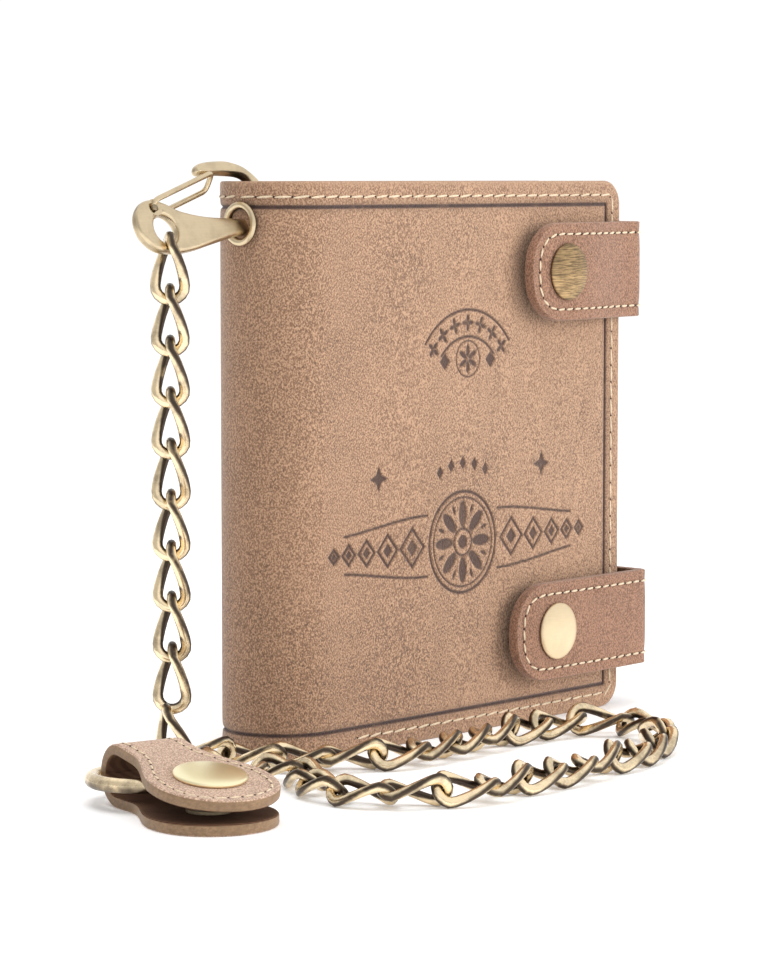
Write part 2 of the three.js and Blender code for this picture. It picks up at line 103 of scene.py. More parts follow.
EYELET = Vector((-56.0, -1.0, 111.3))
HOOK_LEAN = math.radians(25)
HOOK_HALF_THICKNESS = 1.3
HOOK_EYE = (22.6, -1.4, 3.2)
GATE_PIVOT = (24.2, 3.3, 0.85)
GATE_TIP = (5.4, 9.5)
HOOK_OUTLINE = [
    (8.3, 11.0), (8.6, 12.3), (7.2, 13.3), (3.2, 13.8), (-1.2, 13.7), (-5.6, 12.1), (-8.9, 8.3),
    (-9.8, 3.6), (-7.6, -0.8), (-3.6, -2.3), (2.4, -2.7), (9.5, -4.2), (16.4, -5.8), (21.6, -6.3),
    (26.6, -5.6), (29.5, -2.6), (29.6, 1.4), (27.2, 4.4), (24.2, 5.2), (20.8, 4.4), (17.2, 2.7),
    (11.2, 1.5), (4.0, 1.0), (-2.8, 0.8), (-5.8, 1.7), (-6.6, 4.6), (-5.9, 8.4), (-4.0, 10.5),
    (1.0, 11.0), (5.6, 10.9),
]

LINK_WIRE = 2.2
LINK_WIDTH = 8.2
LINK_PITCH = 10.4
LINK_HALF = 6.4
RUN_HEIGHT = 3.6
HANG_X = -78.6
HANG_Y = -3.32
HANG_TOP = 109.03
HANG_FOOT = 9.0
FLOOR_ROUTE = [
    (-70, -6), (-65, -11), (-58, -21), (-46, -31), (-32, -33), (-14, -32), (4, -31), (15, -33),
    (21, -42), (15, -55), (-2, -65), (-21, -69), (-44, -70.5), (-62, -70), (-73, -64),
    (-79, -54), (-78, -43), (-73.5, -35), (-71, -27.5), (-73.5, -22), (-80.4, -21.2),
]

RING_WIRE = 3.0
RING_RADIUS = 11.5
RING_CENTRE = (2.4, 1.0, 5.2)
RING_TILT = math.radians(2)
RING_LINK_ANGLE = math.radians(110)

TAB_FOLD = (-104.0, -21.0)
TAB_HEADING = math.radians(-104)
TAB_THICKNESS = 2.3
TAB_NECK = 7.3
TAB_END = 12.5
TAB_END_CENTRE = 27.5
TAB_BEND = 6.25
TAB_SLOPE = math.radians(9)
TAB_SNAP = 26.5
TAB_TO_WALLET = Matrix.Translation((*TAB_FOLD, 0)) @ Matrix.Rotation(TAB_HEADING, 4, "Z")

LINING_X = (-39.1, 54.5)
LINING_INSET = 2.7
LINING_THICKNESS = 0.7


def from_screen(red, green, blue):
    """A colour given as screen values from 0 to 255, as light."""
    return tuple(((value / 255 + 0.055) / 1.055) ** 2.4 for value in (red, green, blue))


def half_thickness(x):
    along = (x - SPINE_X) / FLAT_LENGTH
    return SPINE_RADIUS - FREE_EDGE_TAPER * along * max(along, 0.0)


def smooth_step(value, low, high):
    t = min(max((value - low) / (high - low), 0.0), 1.0)
    return t * t * (3 - 2 * t)


# ---- settings a user would change ------------------------------------------------------
def length_setting(name, description, default):
    return bpy.props.FloatProperty(name=name, description=description, default=default * MM,
                                   min=0.0, unit="LENGTH", precision=5)


def colour_setting(name, description, default):
    return bpy.props.FloatVectorProperty(name=name, description=description, default=default,
                                         size=3, min=0.0, max=1.0, subtype="COLOR")


class ChainWalletSizes(bpy.types.PropertyGroup):
    """Sizes of the wallet's sewing, creases and chain"""

    crease_inset: length_setting("Crease inset", "From a cover's edge to its crease", 5.3)
    crease_depth: length_setting("Crease depth", "How deep the crease is pressed", 0.45)
    cover_seam: length_setting("Cover seam inset", "From a cover's edge to its stitches", 3.2)
    strap_seam: length_setting("Strap seam inset", "From a strap's edge to its stitches", 2.5)
    tab_seam: length_setting("Tab seam inset", "From the tab's edge to its stitches", 2.2)
    cover_pitch: length_setting("Cover stitch", "Length of one stitch on the covers", 3.85)
    strap_pitch: length_setting("Strap stitch", "Length of one stitch on straps and tab", 2.9)
    thread: length_setting("Thread", "Thickness of the sewing thread", 0.48)
    emblem_depth: length_setting("Emblem depth", "How deep the emblem is pressed", 0.3)
    link_twist: bpy.props.FloatProperty(name="Link twist", description="Twist of a curb link, end to end",
                                        default=math.radians(-84), subtype="ANGLE")
    link_unrest: bpy.props.FloatProperty(name="Link unrest", description="How far a free link rolls to a side",
                                         default=math.radians(26), subtype="ANGLE")


class ChainWalletColours(bpy.types.PropertyGroup):
    """Colours of the wallet's leather, thread and metal"""

    cover: colour_setting("Cover leather", "Nubuck of the covers", from_screen(160, 128, 103))
    strap: colour_setting("Strap leather", "Leather of the straps", from_screen(140, 105, 84))
    tab: colour_setting("Tab leather", "Leather of the belt tab", from_screen(184, 156, 134))
    pores: colour_setting("Pores", "Dark pores in the leather", from_screen(82, 62, 50))
    crease: colour_setting("Crease", "Burnished crease lines", from_screen(66, 48, 46))
    emblem: colour_setting("Emblem", "Burnt tone of the pressed emblem", from_screen(66, 46, 40))
    edge: colour_setting("Painted edge", "Edge paint of the belt tab", from_screen(140, 112, 84))
    lining: colour_setting("Lining", "Lining cloth and flesh side", from_screen(92, 66, 50))
    thread: colour_setting("Thread", "Sewing thread", from_screen(220, 200, 172))
    brass: colour_setting("Brass", "Worn bright antique brass", from_screen(240, 219, 182))
    dark_cap: colour_setting("Dark cap", "Brushed, darker cap of the upper snap", from_screen(200, 168, 122))
    patina: colour_setting("Patina", "Dark patina of the brass", from_screen(78, 67, 58))


def sizes():
    return bpy.context.scene.chain_wallet_sizes


def colours():
    return bpy.context.scene.chain_wallet_colours


def in_mm(value):
    return value / MM


# ---- shader wiring ---------------------------------------------------------------------
class Wire:
    """What a node gives, so that shader maths reads as an expression."""

    def __init__(self, tree, socket):
        self.tree = tree
        self.socket = socket

    def node(self, kind, settings=None, inputs=None, output=0):
        """Adds any node: its settings first, then the values or links of its sockets."""
        made = self.tree.nodes.new(kind)
        for name, value in (settings or {}).items():
            setattr(made, name, value)
        for name, value in (inputs or {}).items():
            if isinstance(value, Wire):
                self.tree.links.new(value.socket, made.inputs[name])
            else:
                made.inputs[name].default_value = value
        return Wire(self.tree, made.outputs[output] if len(made.outputs) else None)

    def maths(self, operation, first, second=0.0, third=0.0):
        return self.node("ShaderNodeMath", {"operation": operation}, {0: first, 1: second, 2: third})

    def __add__(self, other):
        return self.maths("ADD", self, other)

    def __radd__(self, other):
        return self.maths("ADD", other, self)

    def __sub__(self, other):
        return self.maths("SUBTRACT", self, other)

    def __rsub__(self, other):
        return self.maths("SUBTRACT", other, self)

    def __mul__(self, other):
        return self.maths("MULTIPLY", self, other)

    def __rmul__(self, other):
        return self.maths("MULTIPLY", other, self)

    def __pow__(self, other):
        return self.maths("POWER", self, other)

    def ramp(self, low, high):
        """0 below low, 1 above high, smooth between; low above high turns it round."""
        flip = low > high
        start, end = (high, low) if flip else (low, high)
        made = self.node("ShaderNodeMapRange", {"interpolation_type": "SMOOTHSTEP"},
                         {"Value": self, "From Min": start, "From Max": end,
                          "To Min": 1.0 if flip else 0.0, "To Max": 0.0 if flip else 1.0})
        return made

    def blend(self, first, second):
        """Mixes two colours by this number."""
        def colour(value):
            return value if isinstance(value, Wire) else (*value[:3], 1.0)
        return self.node("ShaderNodeMix", {"data_type": "RGBA"},
                         {0: self, 6: colour(first), 7: colour(second)}, 2)


def scaled(colour, factor):
    return tuple(min(1.0, value * factor) for value in colour[:3])


class Finish:
    """One material in the making: its coordinates, textures and surface shader."""

    def __init__(self, name):
        self.material = bpy.data.materials.new(name)
        self.material.use_nodes = True
        tree = self.material.node_tree
        tree.nodes.clear()
        self.start = Wire(tree, None)
        self.place = self.start.node("ShaderNodeTexCoord", output=3)

    def attribute(self, name):
        return self.start.node("ShaderNodeAttribute", {"attribute_name": name}, output=2)

    def stretched(self, scale, turn=(0.0, 0.0, 0.0)):
        return self.start.node("ShaderNodeMapping", None,
                               {"Vector": self.place, "Scale": scale, "Rotation": turn})

    def noise(self, scale, detail=3.0, roughness=0.55, vector=None, distortion=0.0):
        return self.start.node("ShaderNodeTexNoise", None, {
            "Vector": vector or self.place, "Scale": scale, "Detail": detail,
            "Roughness": roughness, "Distortion": distortion})

    def cells(self, scale, vector=None, feature="F1"):
        return self.start.node("ShaderNodeTexVoronoi", {"feature": feature},
                               {"Vector": vector or self.place, "Scale": scale})

    def part_of(self, axis):
        split = self.start.node("ShaderNodeSeparateXYZ", None, {"Vector": self.place}, axis)
        return split

    def bump(self, height, distance, strength=1.0, under=None):
        inputs = {"Height": height, "Distance": distance, "Strength": strength}
        if under is not None:
            inputs["Normal"] = under
        return self.start.node("ShaderNodeBump", None, inputs)

    def surface(self, colour, roughness, normal=None, metallic=0.0, **fixed):
        inputs = {"Base Color": colour, "Roughness": roughness, "Metallic": metallic}
        if normal is not None:
            inputs["Normal"] = normal
        inputs.update({name.replace("_", " "): value for name, value in fixed.items()})
        shader = self.start.node("ShaderNodeBsdfPrincipled", None, inputs)
        self.start.node("ShaderNodeOutputMaterial", None, {"Surface": shader})
        return self.material


def finish_of(name, make):
    """The material of that name, made the first time it is asked for."""
    return bpy.data.materials.get(name) or make(name)


def leather(name, base, pore_strength=1.0, marked=False, grain=1.0):
    """Nubuck: cloudy tone under a fine salt-and-pepper nap, darker towards the spine side (partly painted shade), and
    pressed marks on a cover.
    """
    tone = colours()
    coat = Finish(name)
    cloud = coat.noise(26.0, 4.0, 0.6)
    patch = coat.noise(110.0, 4.0, 0.55)
    leaning = coat.stretched((1.15, 1.15, 0.9), (0.0, 0.6, 0.0))
    nap = coat.noise(2700.0, 1.5, 0.5, leaning)
    pit = coat.noise(1700.0, 2.0, 0.5, leaning)
    # A darker tone of the leather: used for the nap's dark fibres and for the painted shade towards the spine.
    shade = (base[0] * 0.56, base[1] * 0.48, base[2] * 0.45)
    low = coat.part_of(2).ramp(0.09, 0.0) * 0.25
    # Darker towards -X, the spine side: partly the leather's own tone there, partly painted shade where the rounded
    # spine turns away from the light.
    spine_tone_and_painted_shade = coat.part_of(0).ramp(0.005, -0.03) * 0.3
    pores = pit.ramp(0.47, 0.30) * ((cloud.ramp(0.62, 0.36) * 0.5 + low + 0.5) * pore_strength)
    colour = cloud.ramp(0.32, 0.68).blend(scaled(base, 0.88), scaled(base, 1.10))
    colour = spine_tone_and_painted_shade.blend(colour, shade)
    colour = (patch.ramp(0.46, 0.74) * 0.35).blend(colour, scaled(base, 1.2))
    colour = (patch.ramp(0.50, 0.28) * 0.35).blend(colour, scaled(base, 0.74))
    colour = (nap.ramp(0.48, 0.62) * 0.8).blend(colour, scaled(base, 1.45))
    colour = (nap.ramp(0.52, 0.36) * 0.8).blend(colour, shade)
    colour = (pores * 0.55).blend(colour, tone.pores)
    height = nap * 0.6 - pores * 0.5 + patch * 0.3
    rough = 0.86 - pores * 0.1
    if marked:
        edge = coat.attribute("edge")
        inset = in_mm(sizes().crease_inset)
        broken = coat.noise(240.0, 3.0, 0.6)
        line = (edge - inset)
        line = line * line
        pressed = line.ramp(0.34, 0.02) * (broken.ramp(0.2, 0.5) * 0.35 + 0.65)
        aura = line.ramp(3.2, 0.1) * 0.32
        colour = aura.blend(colour, scaled(base, 0.55))
        colour = (pressed * 0.92).blend(colour, tone.crease)
        worn = edge.ramp(1.5, 0.2) * 0.5
        colour = worn.blend(colour, scaled(base, 1.1))
        emblem = coat.attribute("emblem")
        stamp = emblem * (patch.ramp(0.2, 0.6) * 0.18 + 0.82)
        colour = (stamp * 0.94).blend(colour, tone.emblem)
        rough = rough - emblem * 0.22
    normal = coat.bump(height, 0.00022 * grain, 0.75)
    return coat.surface(colour, rough, normal, Specular_IOR_Level=0.28,
                        Sheen_Weight=0.22, Sheen_Roughness=0.5)


def cover_leather():
    return finish_of("nubuck_cover", lambda name: leather(name, colours().cover, 1.0, True))


def strap_leather():
    return finish_of("nubuck_strap", lambda name: leather(name, colours().strap, 0.75, False, 1.2))


def tab_leather():
    return finish_of("nubuck_tab", lambda name: leather(name, colours().tab, 0.6, False, 1.2))


def raw_edge(name, base, gloss=0.62):
    """A cut leather edge: fibres along the sheet, in uneven layers."""
    coat = Finish(name)
    fibre = coat.noise(900.0, 4.0, 0.7, coat.stretched((1.0, 1.0, 1.6)))
    band = coat.noise(170.0, 3.0, 0.6)
    colour = fibre.ramp(0.3, 0.72).blend(scaled(base, 0.72), scaled(base, 1.2))
    colour = (band.ramp(0.4, 0.7) * 0.4).blend(colour, scaled(base, 0.82))
    normal = coat.bump(fibre, 0.00018, 0.6)
    return coat.surface(colour, gloss + fibre * 0.15, normal, Specular_IOR_Level=0.35)


def cover_edge():
    return finish_of("cover_edge", lambda name: raw_edge(name, scaled(colours().cover, 1.0), 0.7))


def strap_edge():
    return finish_of("strap_edge", lambda name: raw_edge(name, scaled(colours().strap, 0.78), 0.65))


def tab_edge():
    return finish_of("tab_edge", lambda name: raw_edge(name, colours().edge, 0.42))


def make_lining(name):
    """Lining cloth: a fine twill over a dark ground."""
    coat = Finish(name)
    base = colours().lining
    twill = coat.start.node("ShaderNodeTexWave", {"bands_direction": "DIAGONAL"}, {
        "Vector": coat.place, "Scale": 380.0, "Distortion": 1.2, "Detail": 2.0, "Detail Scale": 3.0})
    wear = coat.noise(120.0, 4.0, 0.6)
    colour = twill.ramp(0.2, 0.8).blend(scaled(base, 0.7), scaled(base, 1.25))
    colour = (wear.ramp(0.4, 0.75) * 0.4).blend(colour, scaled(base, 1.5))
    normal = coat.bump(twill, 0.00012, 0.6)
    return coat.surface(colour, 0.9 - wear * 0.08, normal, Specular_IOR_Level=0.2)


def lining_cloth():
    return finish_of("lining_cloth", make_lining)


def make_thread(name):
    """Waxed thread: twisted strands, a little soiled."""
    coat = Finish(name)
    base = colours().thread
    strand = coat.noise(2600.0, 2.0, 0.6)
    soil = coat.noise(90.0, 3.0, 0.6)
    colour = strand.ramp(0.3, 0.7).blend(scaled(base, 0.78), scaled(base, 1.1))
    colour = (soil.ramp(0.45, 0.8) * 0.4).blend(colour, scaled(base, 0.66))
    normal = coat.bump(strand, 0.00012, 0.6)
    return coat.surface(colour, 0.62 + soil * 0.15, normal, Specular_IOR_Level=0.3)


def thread_finish():
    return finish_of("thread", make_thread)


def make_hole(name):
    # Painted shade: the dark colour of the small spheres that stand in for the shade inside each needle hole.
    coat = Finish(name)
    fray = coat.noise(1500.0, 2.0)
    colour = fray.blend(scaled(colours().crease, 0.4), scaled(colours().crease, 0.8))
    return coat.surface(colour, 0.9 - fray * 0.1)


def needle_hole():
    return finish_of("needle_hole", make_hole)


def brass(name, bright, patina, brushed=0.0, uneven=1.0, turn=0.0, worn=True, gloss=0.24):
    """Antique brass: bright where it rubs, dark patina in the hollows, fine scratches, and the painted shade and
    reflections that some pieces carry in their wear attribute.
    """
    coat = Finish(name)
    cloud = coat.noise(190.0, 4.0, 0.65)
    speck = coat.noise(1200.0, 3.0, 0.7)
    hair = coat.noise(300.0, 4.0, 0.65, coat.stretched((1.0, 1.0, 16.0), (0.0, turn, 0.0)))
    mask = cloud.ramp(0.30, 0.60) * 0.5 * uneven + (1.0 - 0.5 * uneven)
    if worn:
        # The wear attribute: real wear and patina, and on the hook, ring and chain also painted shade and painted
        # reflections.
        mask = mask * (coat.attribute("wear") + (cloud - 0.5) * 0.6).ramp(0.12, 0.8)
    mask = mask * (1.0 - brushed * (1.0 - hair.ramp(0.36, 0.62)))
    colour = mask.blend(patina, bright)
    colour = (speck.ramp(0.62, 0.8) * 0.2).blend(colour, scaled(bright, 0.7))
    colour = (cloud.ramp(0.55, 0.75) * 0.3 * uneven).blend(colour, (bright[0], bright[1] * 0.9, bright[2] * 0.72))
    rough = gloss + 0.16 - mask * 0.14 + speck * 0.06
    normal = coat.bump(speck * 0.5 + hair * 0.6, 0.00004, 0.4)
    return coat.surface(colour, rough, normal, 1.0)


def chain_brass():
    # Partly painted highlight: this brass, for the chain and the key ring, is brighter than the brass colour to stand
    # in for lamp highlights it does not reflect.
    return finish_of("chain_brass", lambda name: brass(
        name, scaled(colours().brass, 1.12), colours().patina, 0.05, 1.0, gloss=0.14))


def cap_brass():
    return finish_of("cap_brass", lambda name: brass(
        name, scaled(colours().brass, 0.96), scaled(colours().patina, 3.6), 0.06, 0.15, 0.6, gloss=0.36))


def tab_cap_brass():
    # Painted highlight: a brighter copy of the brass, with plain brass as its patina, so the cap looks lit though it
    # reflects no lamp.
    return finish_of("tab_cap_brass", lambda name: brass(
        name, scaled(colours().brass, 1.3), colours().brass, 0.06, 0.15, 0.6, gloss=0.3))


def dark_cap_brass():
    return finish_of("dark_cap_brass", lambda name: brass(
        name, colours().dark_cap, scaled(colours().patina, 1.0), 0.75, 0.7, 0.85, gloss=0.36))


def hook_brass():
    return finish_of("hook_brass", lambda name: brass(
        name, scaled(colours().brass, 0.80), scaled(colours().patina, 1.3), 0.05, 0.4, 0.4, gloss=0.24))


def plain_brass():
    return finish_of("plain_brass", lambda name: brass(
        name, scaled(colours().brass, 0.62), colours().patina, 0.1, 0.9, worn=False))


# ---- modelling helpers -----------------------------------------------------------------
def finished(name, bm, materials, body=None, replaced=(), smooth=True, place=TO_PART):
    """Makes the object, with its place in its mesh, and says what it rides on and replaces."""
    bmesh.ops.transform(bm, matrix=place, verts=bm.verts)
    mesh = bpy.data.meshes.new(name)
    bm.to_mesh(mesh)
    bm.free()
    if smooth:
        mesh.shade_smooth()
        mesh.set_sharp_from_angle(angle=math.radians(48))
    for material in materials:
        mesh.materials.append(material)
    piece = bpy.data.objects.new(name, mesh)
    bpy.context.scene.collection.objects.link(piece)
    if replaced:
        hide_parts(*replaced)
    if body:
        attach(piece, body)
    return piece


class FoldLine:
    """The line that a sheet is folded along: points in a plane, met by distance along them."""

    def __init__(self, points):
        self.points = [Vector(point) for point in points]
        self.along = [0.0]
        for a, b in zip(self.points, self.points[1:]):
            self.along.append(self.along[-1] + (b - a).length)
        last = len(self.points) - 1
        self.heading = [(self.points[min(i + 1, last)] - self.points[max(i - 1, 0)]).normalized()
                        for i in range(last + 1)]
        self.length = self.along[-1]

    def at(self, s):
        """The point at s, and the heading there."""
        i = min(max(bisect_right(self.along, s) - 1, 0), len(self.points) - 2)
        t = (s - self.along[i]) / (self.along[i + 1] - self.along[i])
        point = self.points[i].lerp(self.points[i + 1], t)
        return point, self.heading[i].lerp(self.heading[i + 1], min(max(t, 0.0), 1.0)).normalized()


def arc(centre, radius, start, end, steps):
    """Points on an arc, in degrees."""
    turns = [math.radians(start + (end - start) * i / steps) for i in range(steps + 1)]
    return [(centre[0] + radius * math.cos(t), centre[1] + radius * math.sin(t)) for t in turns]


def spread(length, near_start, near_end, step):
    """Distances across a sheet: the given ones at its two edges, then about a step apart."""
    low = near_start[-1]
    high = length - near_end[-1]
    count = max(1, round((high - low) / step))
    middle = [low + (high - low) * i / count for i in range(1, count)]
    return [*near_start, *middle, *[length - distance for distance in reversed(near_end)]]


def flat_sheet(along, across, radii, thickness, rounding):
    """A flat sheet with round corners: along X, across Y, its face at Z 0, its back below.

    The radii go round from start and low, end and low, end and high, to start and high.
    """
    bm = bmesh.new()
    columns = len(along) - 1
    rows = len(across) - 1
    bmesh.ops.create_grid(bm, x_segments=columns, y_segments=rows, size=0.5)
    edge_layer = bm.verts.layers.float.new("edge")
    for vert in bm.verts:
        s = along[round((vert.co.x + 0.5) * columns)]
        w = across[round((vert.co.y + 0.5) * rows)]
        from_end = s > along[-1] / 2
        from_top = w > across[-1] / 2
        e_s = along[-1] - s if from_end else s
        e_w = across[-1] - w if from_top else w
        vert[edge_layer] = min(e_s, e_w)
        radius = radii[{(False, False): 0, (True, False): 1, (True, True): 2, (False, True): 3}[
            (from_end, from_top)]]
        if e_s < radius and e_w < radius:
            a, b = radius - e_s, radius - e_w
            reach = max(a, b)
            turn = math.pi / 4 * b / a if a >= b else math.pi / 2 - math.pi / 4 * a / b
            e_s, e_w = radius - reach * math.cos(turn), radius - reach * math.sin(turn)
        vert.co = Vector((along[-1] - e_s if from_end else e_s,
                          across[-1] - e_w if from_top else e_w, 0.0))
    bmesh.ops.recalc_face_normals(bm, faces=bm.faces)
    if bm.faces[:][0].normal.z < 0:
        bmesh.ops.reverse_faces(bm, faces=bm.faces)
    top = bm.faces[:]
    bmesh.ops.solidify(bm, geom=top, thickness=thickness)
    highest = max(vert.co.z for vert in bm.verts)
    bmesh.ops.translate(bm, verts=bm.verts, vec=(0, 0, -highest))
    bmesh.ops.recalc_face_normals(bm, faces=bm.faces)
    rim = []
    for edge in bm.edges:
        if len(edge.link_faces) == 2:
            tilt = sorted(abs(face.normal.z) for face in edge.link_faces)
            if tilt[0] < 0.3 and tilt[1] > 0.7:
                rim.append(edge)
    if rounding:
        bmesh.ops.bevel(bm, geom=rim, offset=rounding, offset_type="OFFSET", segments=3, profile=0.5,
                        affect="EDGES", material=-1, clamp_overlap=True)
    bm.normal_update()
    for face in bm.faces:
        face.material_index = 0 if face.normal.z > 0.5 else 2 if face.normal.z < -0.5 else 1
    return bm


def fold_sheet(bm, place, relief=None):
    """Moves a flat sheet's points to where it is folded, and keeps the flat lay as its UV map."""
    edge_layer = bm.verts.layers.float["edge"]
    uv_layer = bm.loops.layers.uv.new("lay")
    for face in bm.faces:
        for loop in face.loops:
            loop[uv_layer].uv = (loop.vert.co.x * MM, loop.vert.co.y * MM)
    for vert in bm.verts:
        s, w, depth = vert.co
        if relief and depth > -0.05:
            depth += relief(vert, s, w, vert[edge_layer])
        vert.co = place(s, w, depth)
    bmesh.ops.recalc_face_normals(bm, faces=bm.faces)
    return bm


def rounded_route(corners, radius, steps=6):
    """A route through flat points, its inner corners rounded."""
    points = [Vector(corner) for corner in corners]
    route = [points[0]]
    for before, here, after in zip(points, points[1:], points[2:]):
        back = (before - here).normalized()
        on = (after - here).normalized()
        start = here + back * radius
        end = here + on * radius
        for i in range(steps + 1):
            t = i / steps
            route.append(start.lerp(here, t).lerp(here.lerp(end, t), t))
    return [*route, points[-1]]


def sew(bm, place, route, pitch, thread, materials=(0, 1), lift=0.0, seed=3, fill=0.4):
    """Adds a row of stitches along a flat route, and between each two a dark sphere, painted shade for the needle hole.
    """
    rng = random.Random(seed)
    line = FoldLine(route)
    count = max(1, round(line.length / pitch))
    step = line.length / count
    for i in range(count):
        point, heading = line.at((i + 0.5) * step)
        ahead = point + heading * 0.5
        back = point - heading * 0.5
        middle = place(point.x, point.y, 0.0)
        up = (middle - place(point.x, point.y, -1.0)).normalized()
        on = (place(ahead.x, ahead.y, 0.0) - place(back.x, back.y, 0.0)).normalized()
        sway = math.radians(rng.uniform(2, 8))
        side = up.cross(on)
        on = (on * math.cos(sway) + side * math.sin(sway)).normalized()
        side = up.cross(on)
        half = step * rng.uniform(fill - 0.02, fill + 0.02)
        frame_of = Matrix((side * thread * 0.52, up * thread * 0.42, on * half)).transposed().to_4x4()
        spot = middle + up * (lift + thread * 0.1)
        made = bmesh.ops.create_uvsphere(bm, u_segments=8, v_segments=6, radius=1.0,
                                         matrix=Matrix.Translation(spot) @ frame_of)
        for face in {face for vert in made["verts"] for face in vert.link_faces}:
            face.material_index = materials[0]
        # A dark sphere sunk in the leather: painted shade for the needle hole.
        point, heading = line.at(min(i + 1.0, count - 0.02) * step)
        hole = place(point.x, point.y, lift - thread * 0.22)
        made = bmesh.ops.create_icosphere(bm, subdivisions=1, radius=thread * 0.62,
                                          matrix=Matrix.Translation(hole))
        for face in {face for vert in made["verts"] for face in vert.link_faces}:
            face.material_index = materials[1]


def turned(profile, steps=48):
    """A solid turned about Z from a profile of radius and height."""
    bm = bmesh.new()
    verts = [bm.verts.new((radius, 0.0, height)) for radius, height in profile]
    edges = [bm.edges.new(pair) for pair in zip(verts, verts[1:])]
    bmesh.ops.spin(bm, geom=verts + edges, cent=(0, 0, 0), axis=(0, 0, 1), angle=2 * math.pi,
                   steps=steps, use_merge=True, use_duplicate=False)
    bmesh.ops.remove_doubles(bm, verts=bm.verts, dist=0.001)
    bmesh.ops.recalc_face_normals(bm, faces=bm.faces)
    return bm


def mark_wear_and_shade(bm, value):
    """Writes how bright each point of a metal piece is, from 0 to 1: its wear and patina, and on the hook, ring and
    chain also painted shade and painted reflections.
    """
    layer = bm.verts.layers.float.new("wear")
    for vert in bm.verts:
        vert[layer] = value(vert)
    return bm


def axes(origin, x, y, z):
    """A matrix with those axes and origin."""
    turn = Matrix((x, y, z)).transposed().to_4x4()
    return Matrix.Translation(origin) @ turn


def front_place(x, z):
    """On the outside of the front cover, with Z looking out of the leather."""
    lean = math.atan(half_thickness(x - 0.5) - half_thickness(x + 0.5))
    return axes(Vector((x, -half_thickness(x), z)), Vector((math.cos(lean), math.sin(lean), 0)),
                Vector((0, 0, 1)), Vector((math.sin(lean), -math.cos(lean), 0)))


# ---- the emblem on the front cover -----------------------------------------------------
LOWER_EMBLEM = (0.0, 42.0)
UPPER_EMBLEM = (1.6, 86.5)
EMBLEM_FIELDS = [(-49.5, 49.5, 29.0, 62.5), (-15.5, 18.5, 76.0, 97.0)]
EMBLEM_CUTS = 13


def ring_gap(x, z, radius, width):
    return abs(math.hypot(x, z) - radius) - width / 2


def petal_gap(x, z, petals, middle, half_length, half_width, start=0.0):
    """Distance, about, to the nearest of the petals that stand round a centre."""
    step = 2 * math.pi / petals
    angle = math.atan2(z, x) - start
    angle -= step * round(angle / step)
    reach = math.hypot(x, z)
    px = (reach * math.cos(angle) - middle) / half_length
    pz = reach * math.sin(angle) / half_width
    return (math.hypot(px, pz) - 1) * half_width


def lozenge_gap(x, z, half_width, half_height):
    return (abs(x) / half_width + abs(z) / half_height - 1) * min(half_width, half_height) * 0.8


def bar_gap(x, z, half_width, half_height):
    return max(abs(x) - half_width, abs(z) - half_height)


def lower_gap(x, z):
    side = abs(x)
    shapes = [
        ring_gap(x, z, 11.0, 0.7), ring_gap(x, z, 9.7, 0.4), ring_gap(x, z, 2.9, 0.5),
        petal_gap(x, z, 8, 6.1, 2.9, 1.25), petal_gap(x, z, 8, 7.6, 1.1, 0.42, math.pi / 8),
        math.hypot(x, z) - 1.5,
    ]
    for middle, wide, high in ((16.6, 4.2, 4.6), (24.4, 3.5, 3.9), (31.0, 2.9, 3.2),
                               (36.5, 2.4, 2.6), (41.0, 1.9, 2.0)):
        outer = lozenge_gap(side - middle, z, wide, high)
        inner = lozenge_gap(side - middle, z, wide - 0.95, high - 1.05)
        shapes.append(max(outer, -inner))
        shapes.append(lozenge_gap(side - middle, z, wide * 0.42, high * 0.42))
    for offset, far in ((6.6, 38.0), (-6.6, 38.0)):
        slope = offset * (1 - 0.45 * smooth_step(side, 12, 44))
        shapes.append(max(abs(z - slope) - 0.28, side - far, 11.5 - side))
    for x_at, size in ((27.2, 2.9),):
        shapes.append(lozenge_gap(side - x_at, (z - 15.4), size * 0.42, size))
        shapes.append(lozenge_gap(side - x_at, (z - 15.4), size, size * 0.42))
    for k in range(-2, 3):
        turn = math.radians(90 + 13 * k)
        shapes.append(lozenge_gap(x - 17.2 * math.cos(turn), z - 17.2 * math.sin(turn), 1.1, 1.5))
    return min(shapes)


def upper_gap(x, z):
    shapes = []
    for k in range(-3, 4):
        turn = math.radians(90 + 17 * k)
        shapes.append(petal_gap(x - 14.6 * math.cos(turn), z + 11.6 - 14.6 * math.sin(turn), 4, 0.95, 0.95, 0.5,
                                turn))
    arch = math.hypot(x, z + 11.6)
    spread_of = abs(math.atan2(x, z + 11.6))
    shapes.append(max(abs(arch - 17.4) - 0.3, (spread_of - math.radians(54)) * 12))
    shapes.append(max(abs(arch - 11.6) - 0.3, (spread_of - math.radians(50)) * 10))
    shapes.append(petal_gap(x, z + 4.8, 6, 1.75, 1.45, 0.6, math.pi / 6))
    shapes.append(ring_gap(x, z + 4.8, 3.9, 0.35))
    shapes.append(lozenge_gap(abs(x) - 7.6, z + 5.2, 1.7, 1.9))
    return min(shapes)


def emblem_mask(x, z):
    gap = min(lower_gap(x - LOWER_EMBLEM[0], z - LOWER_EMBLEM[1]),
              upper_gap(x - UPPER_EMBLEM[0], z - UPPER_EMBLEM[1]))
    return smooth_step(-gap, -0.16, 0.16)


# ---- covers ----------------------------------------------------------------------------
def cover_line():
    """Plan of the cover's outside: front free edge, round the spine, to the back free edge."""
    steps = 50
    front = [(EDGE_X - FLAT_LENGTH * i / steps, 0.0) for i in range(steps + 1)]
    front = [(x, -half_thickness(x)) for x, _ in front]
    roll = arc((SPINE_X, 0), SPINE_RADIUS, 270, 90, 60)
    back = [(x, -y) for x, y in reversed(front)]
    return FoldLine(front[:-1] + roll + back[1:])


COVER_LINE = cover_line()


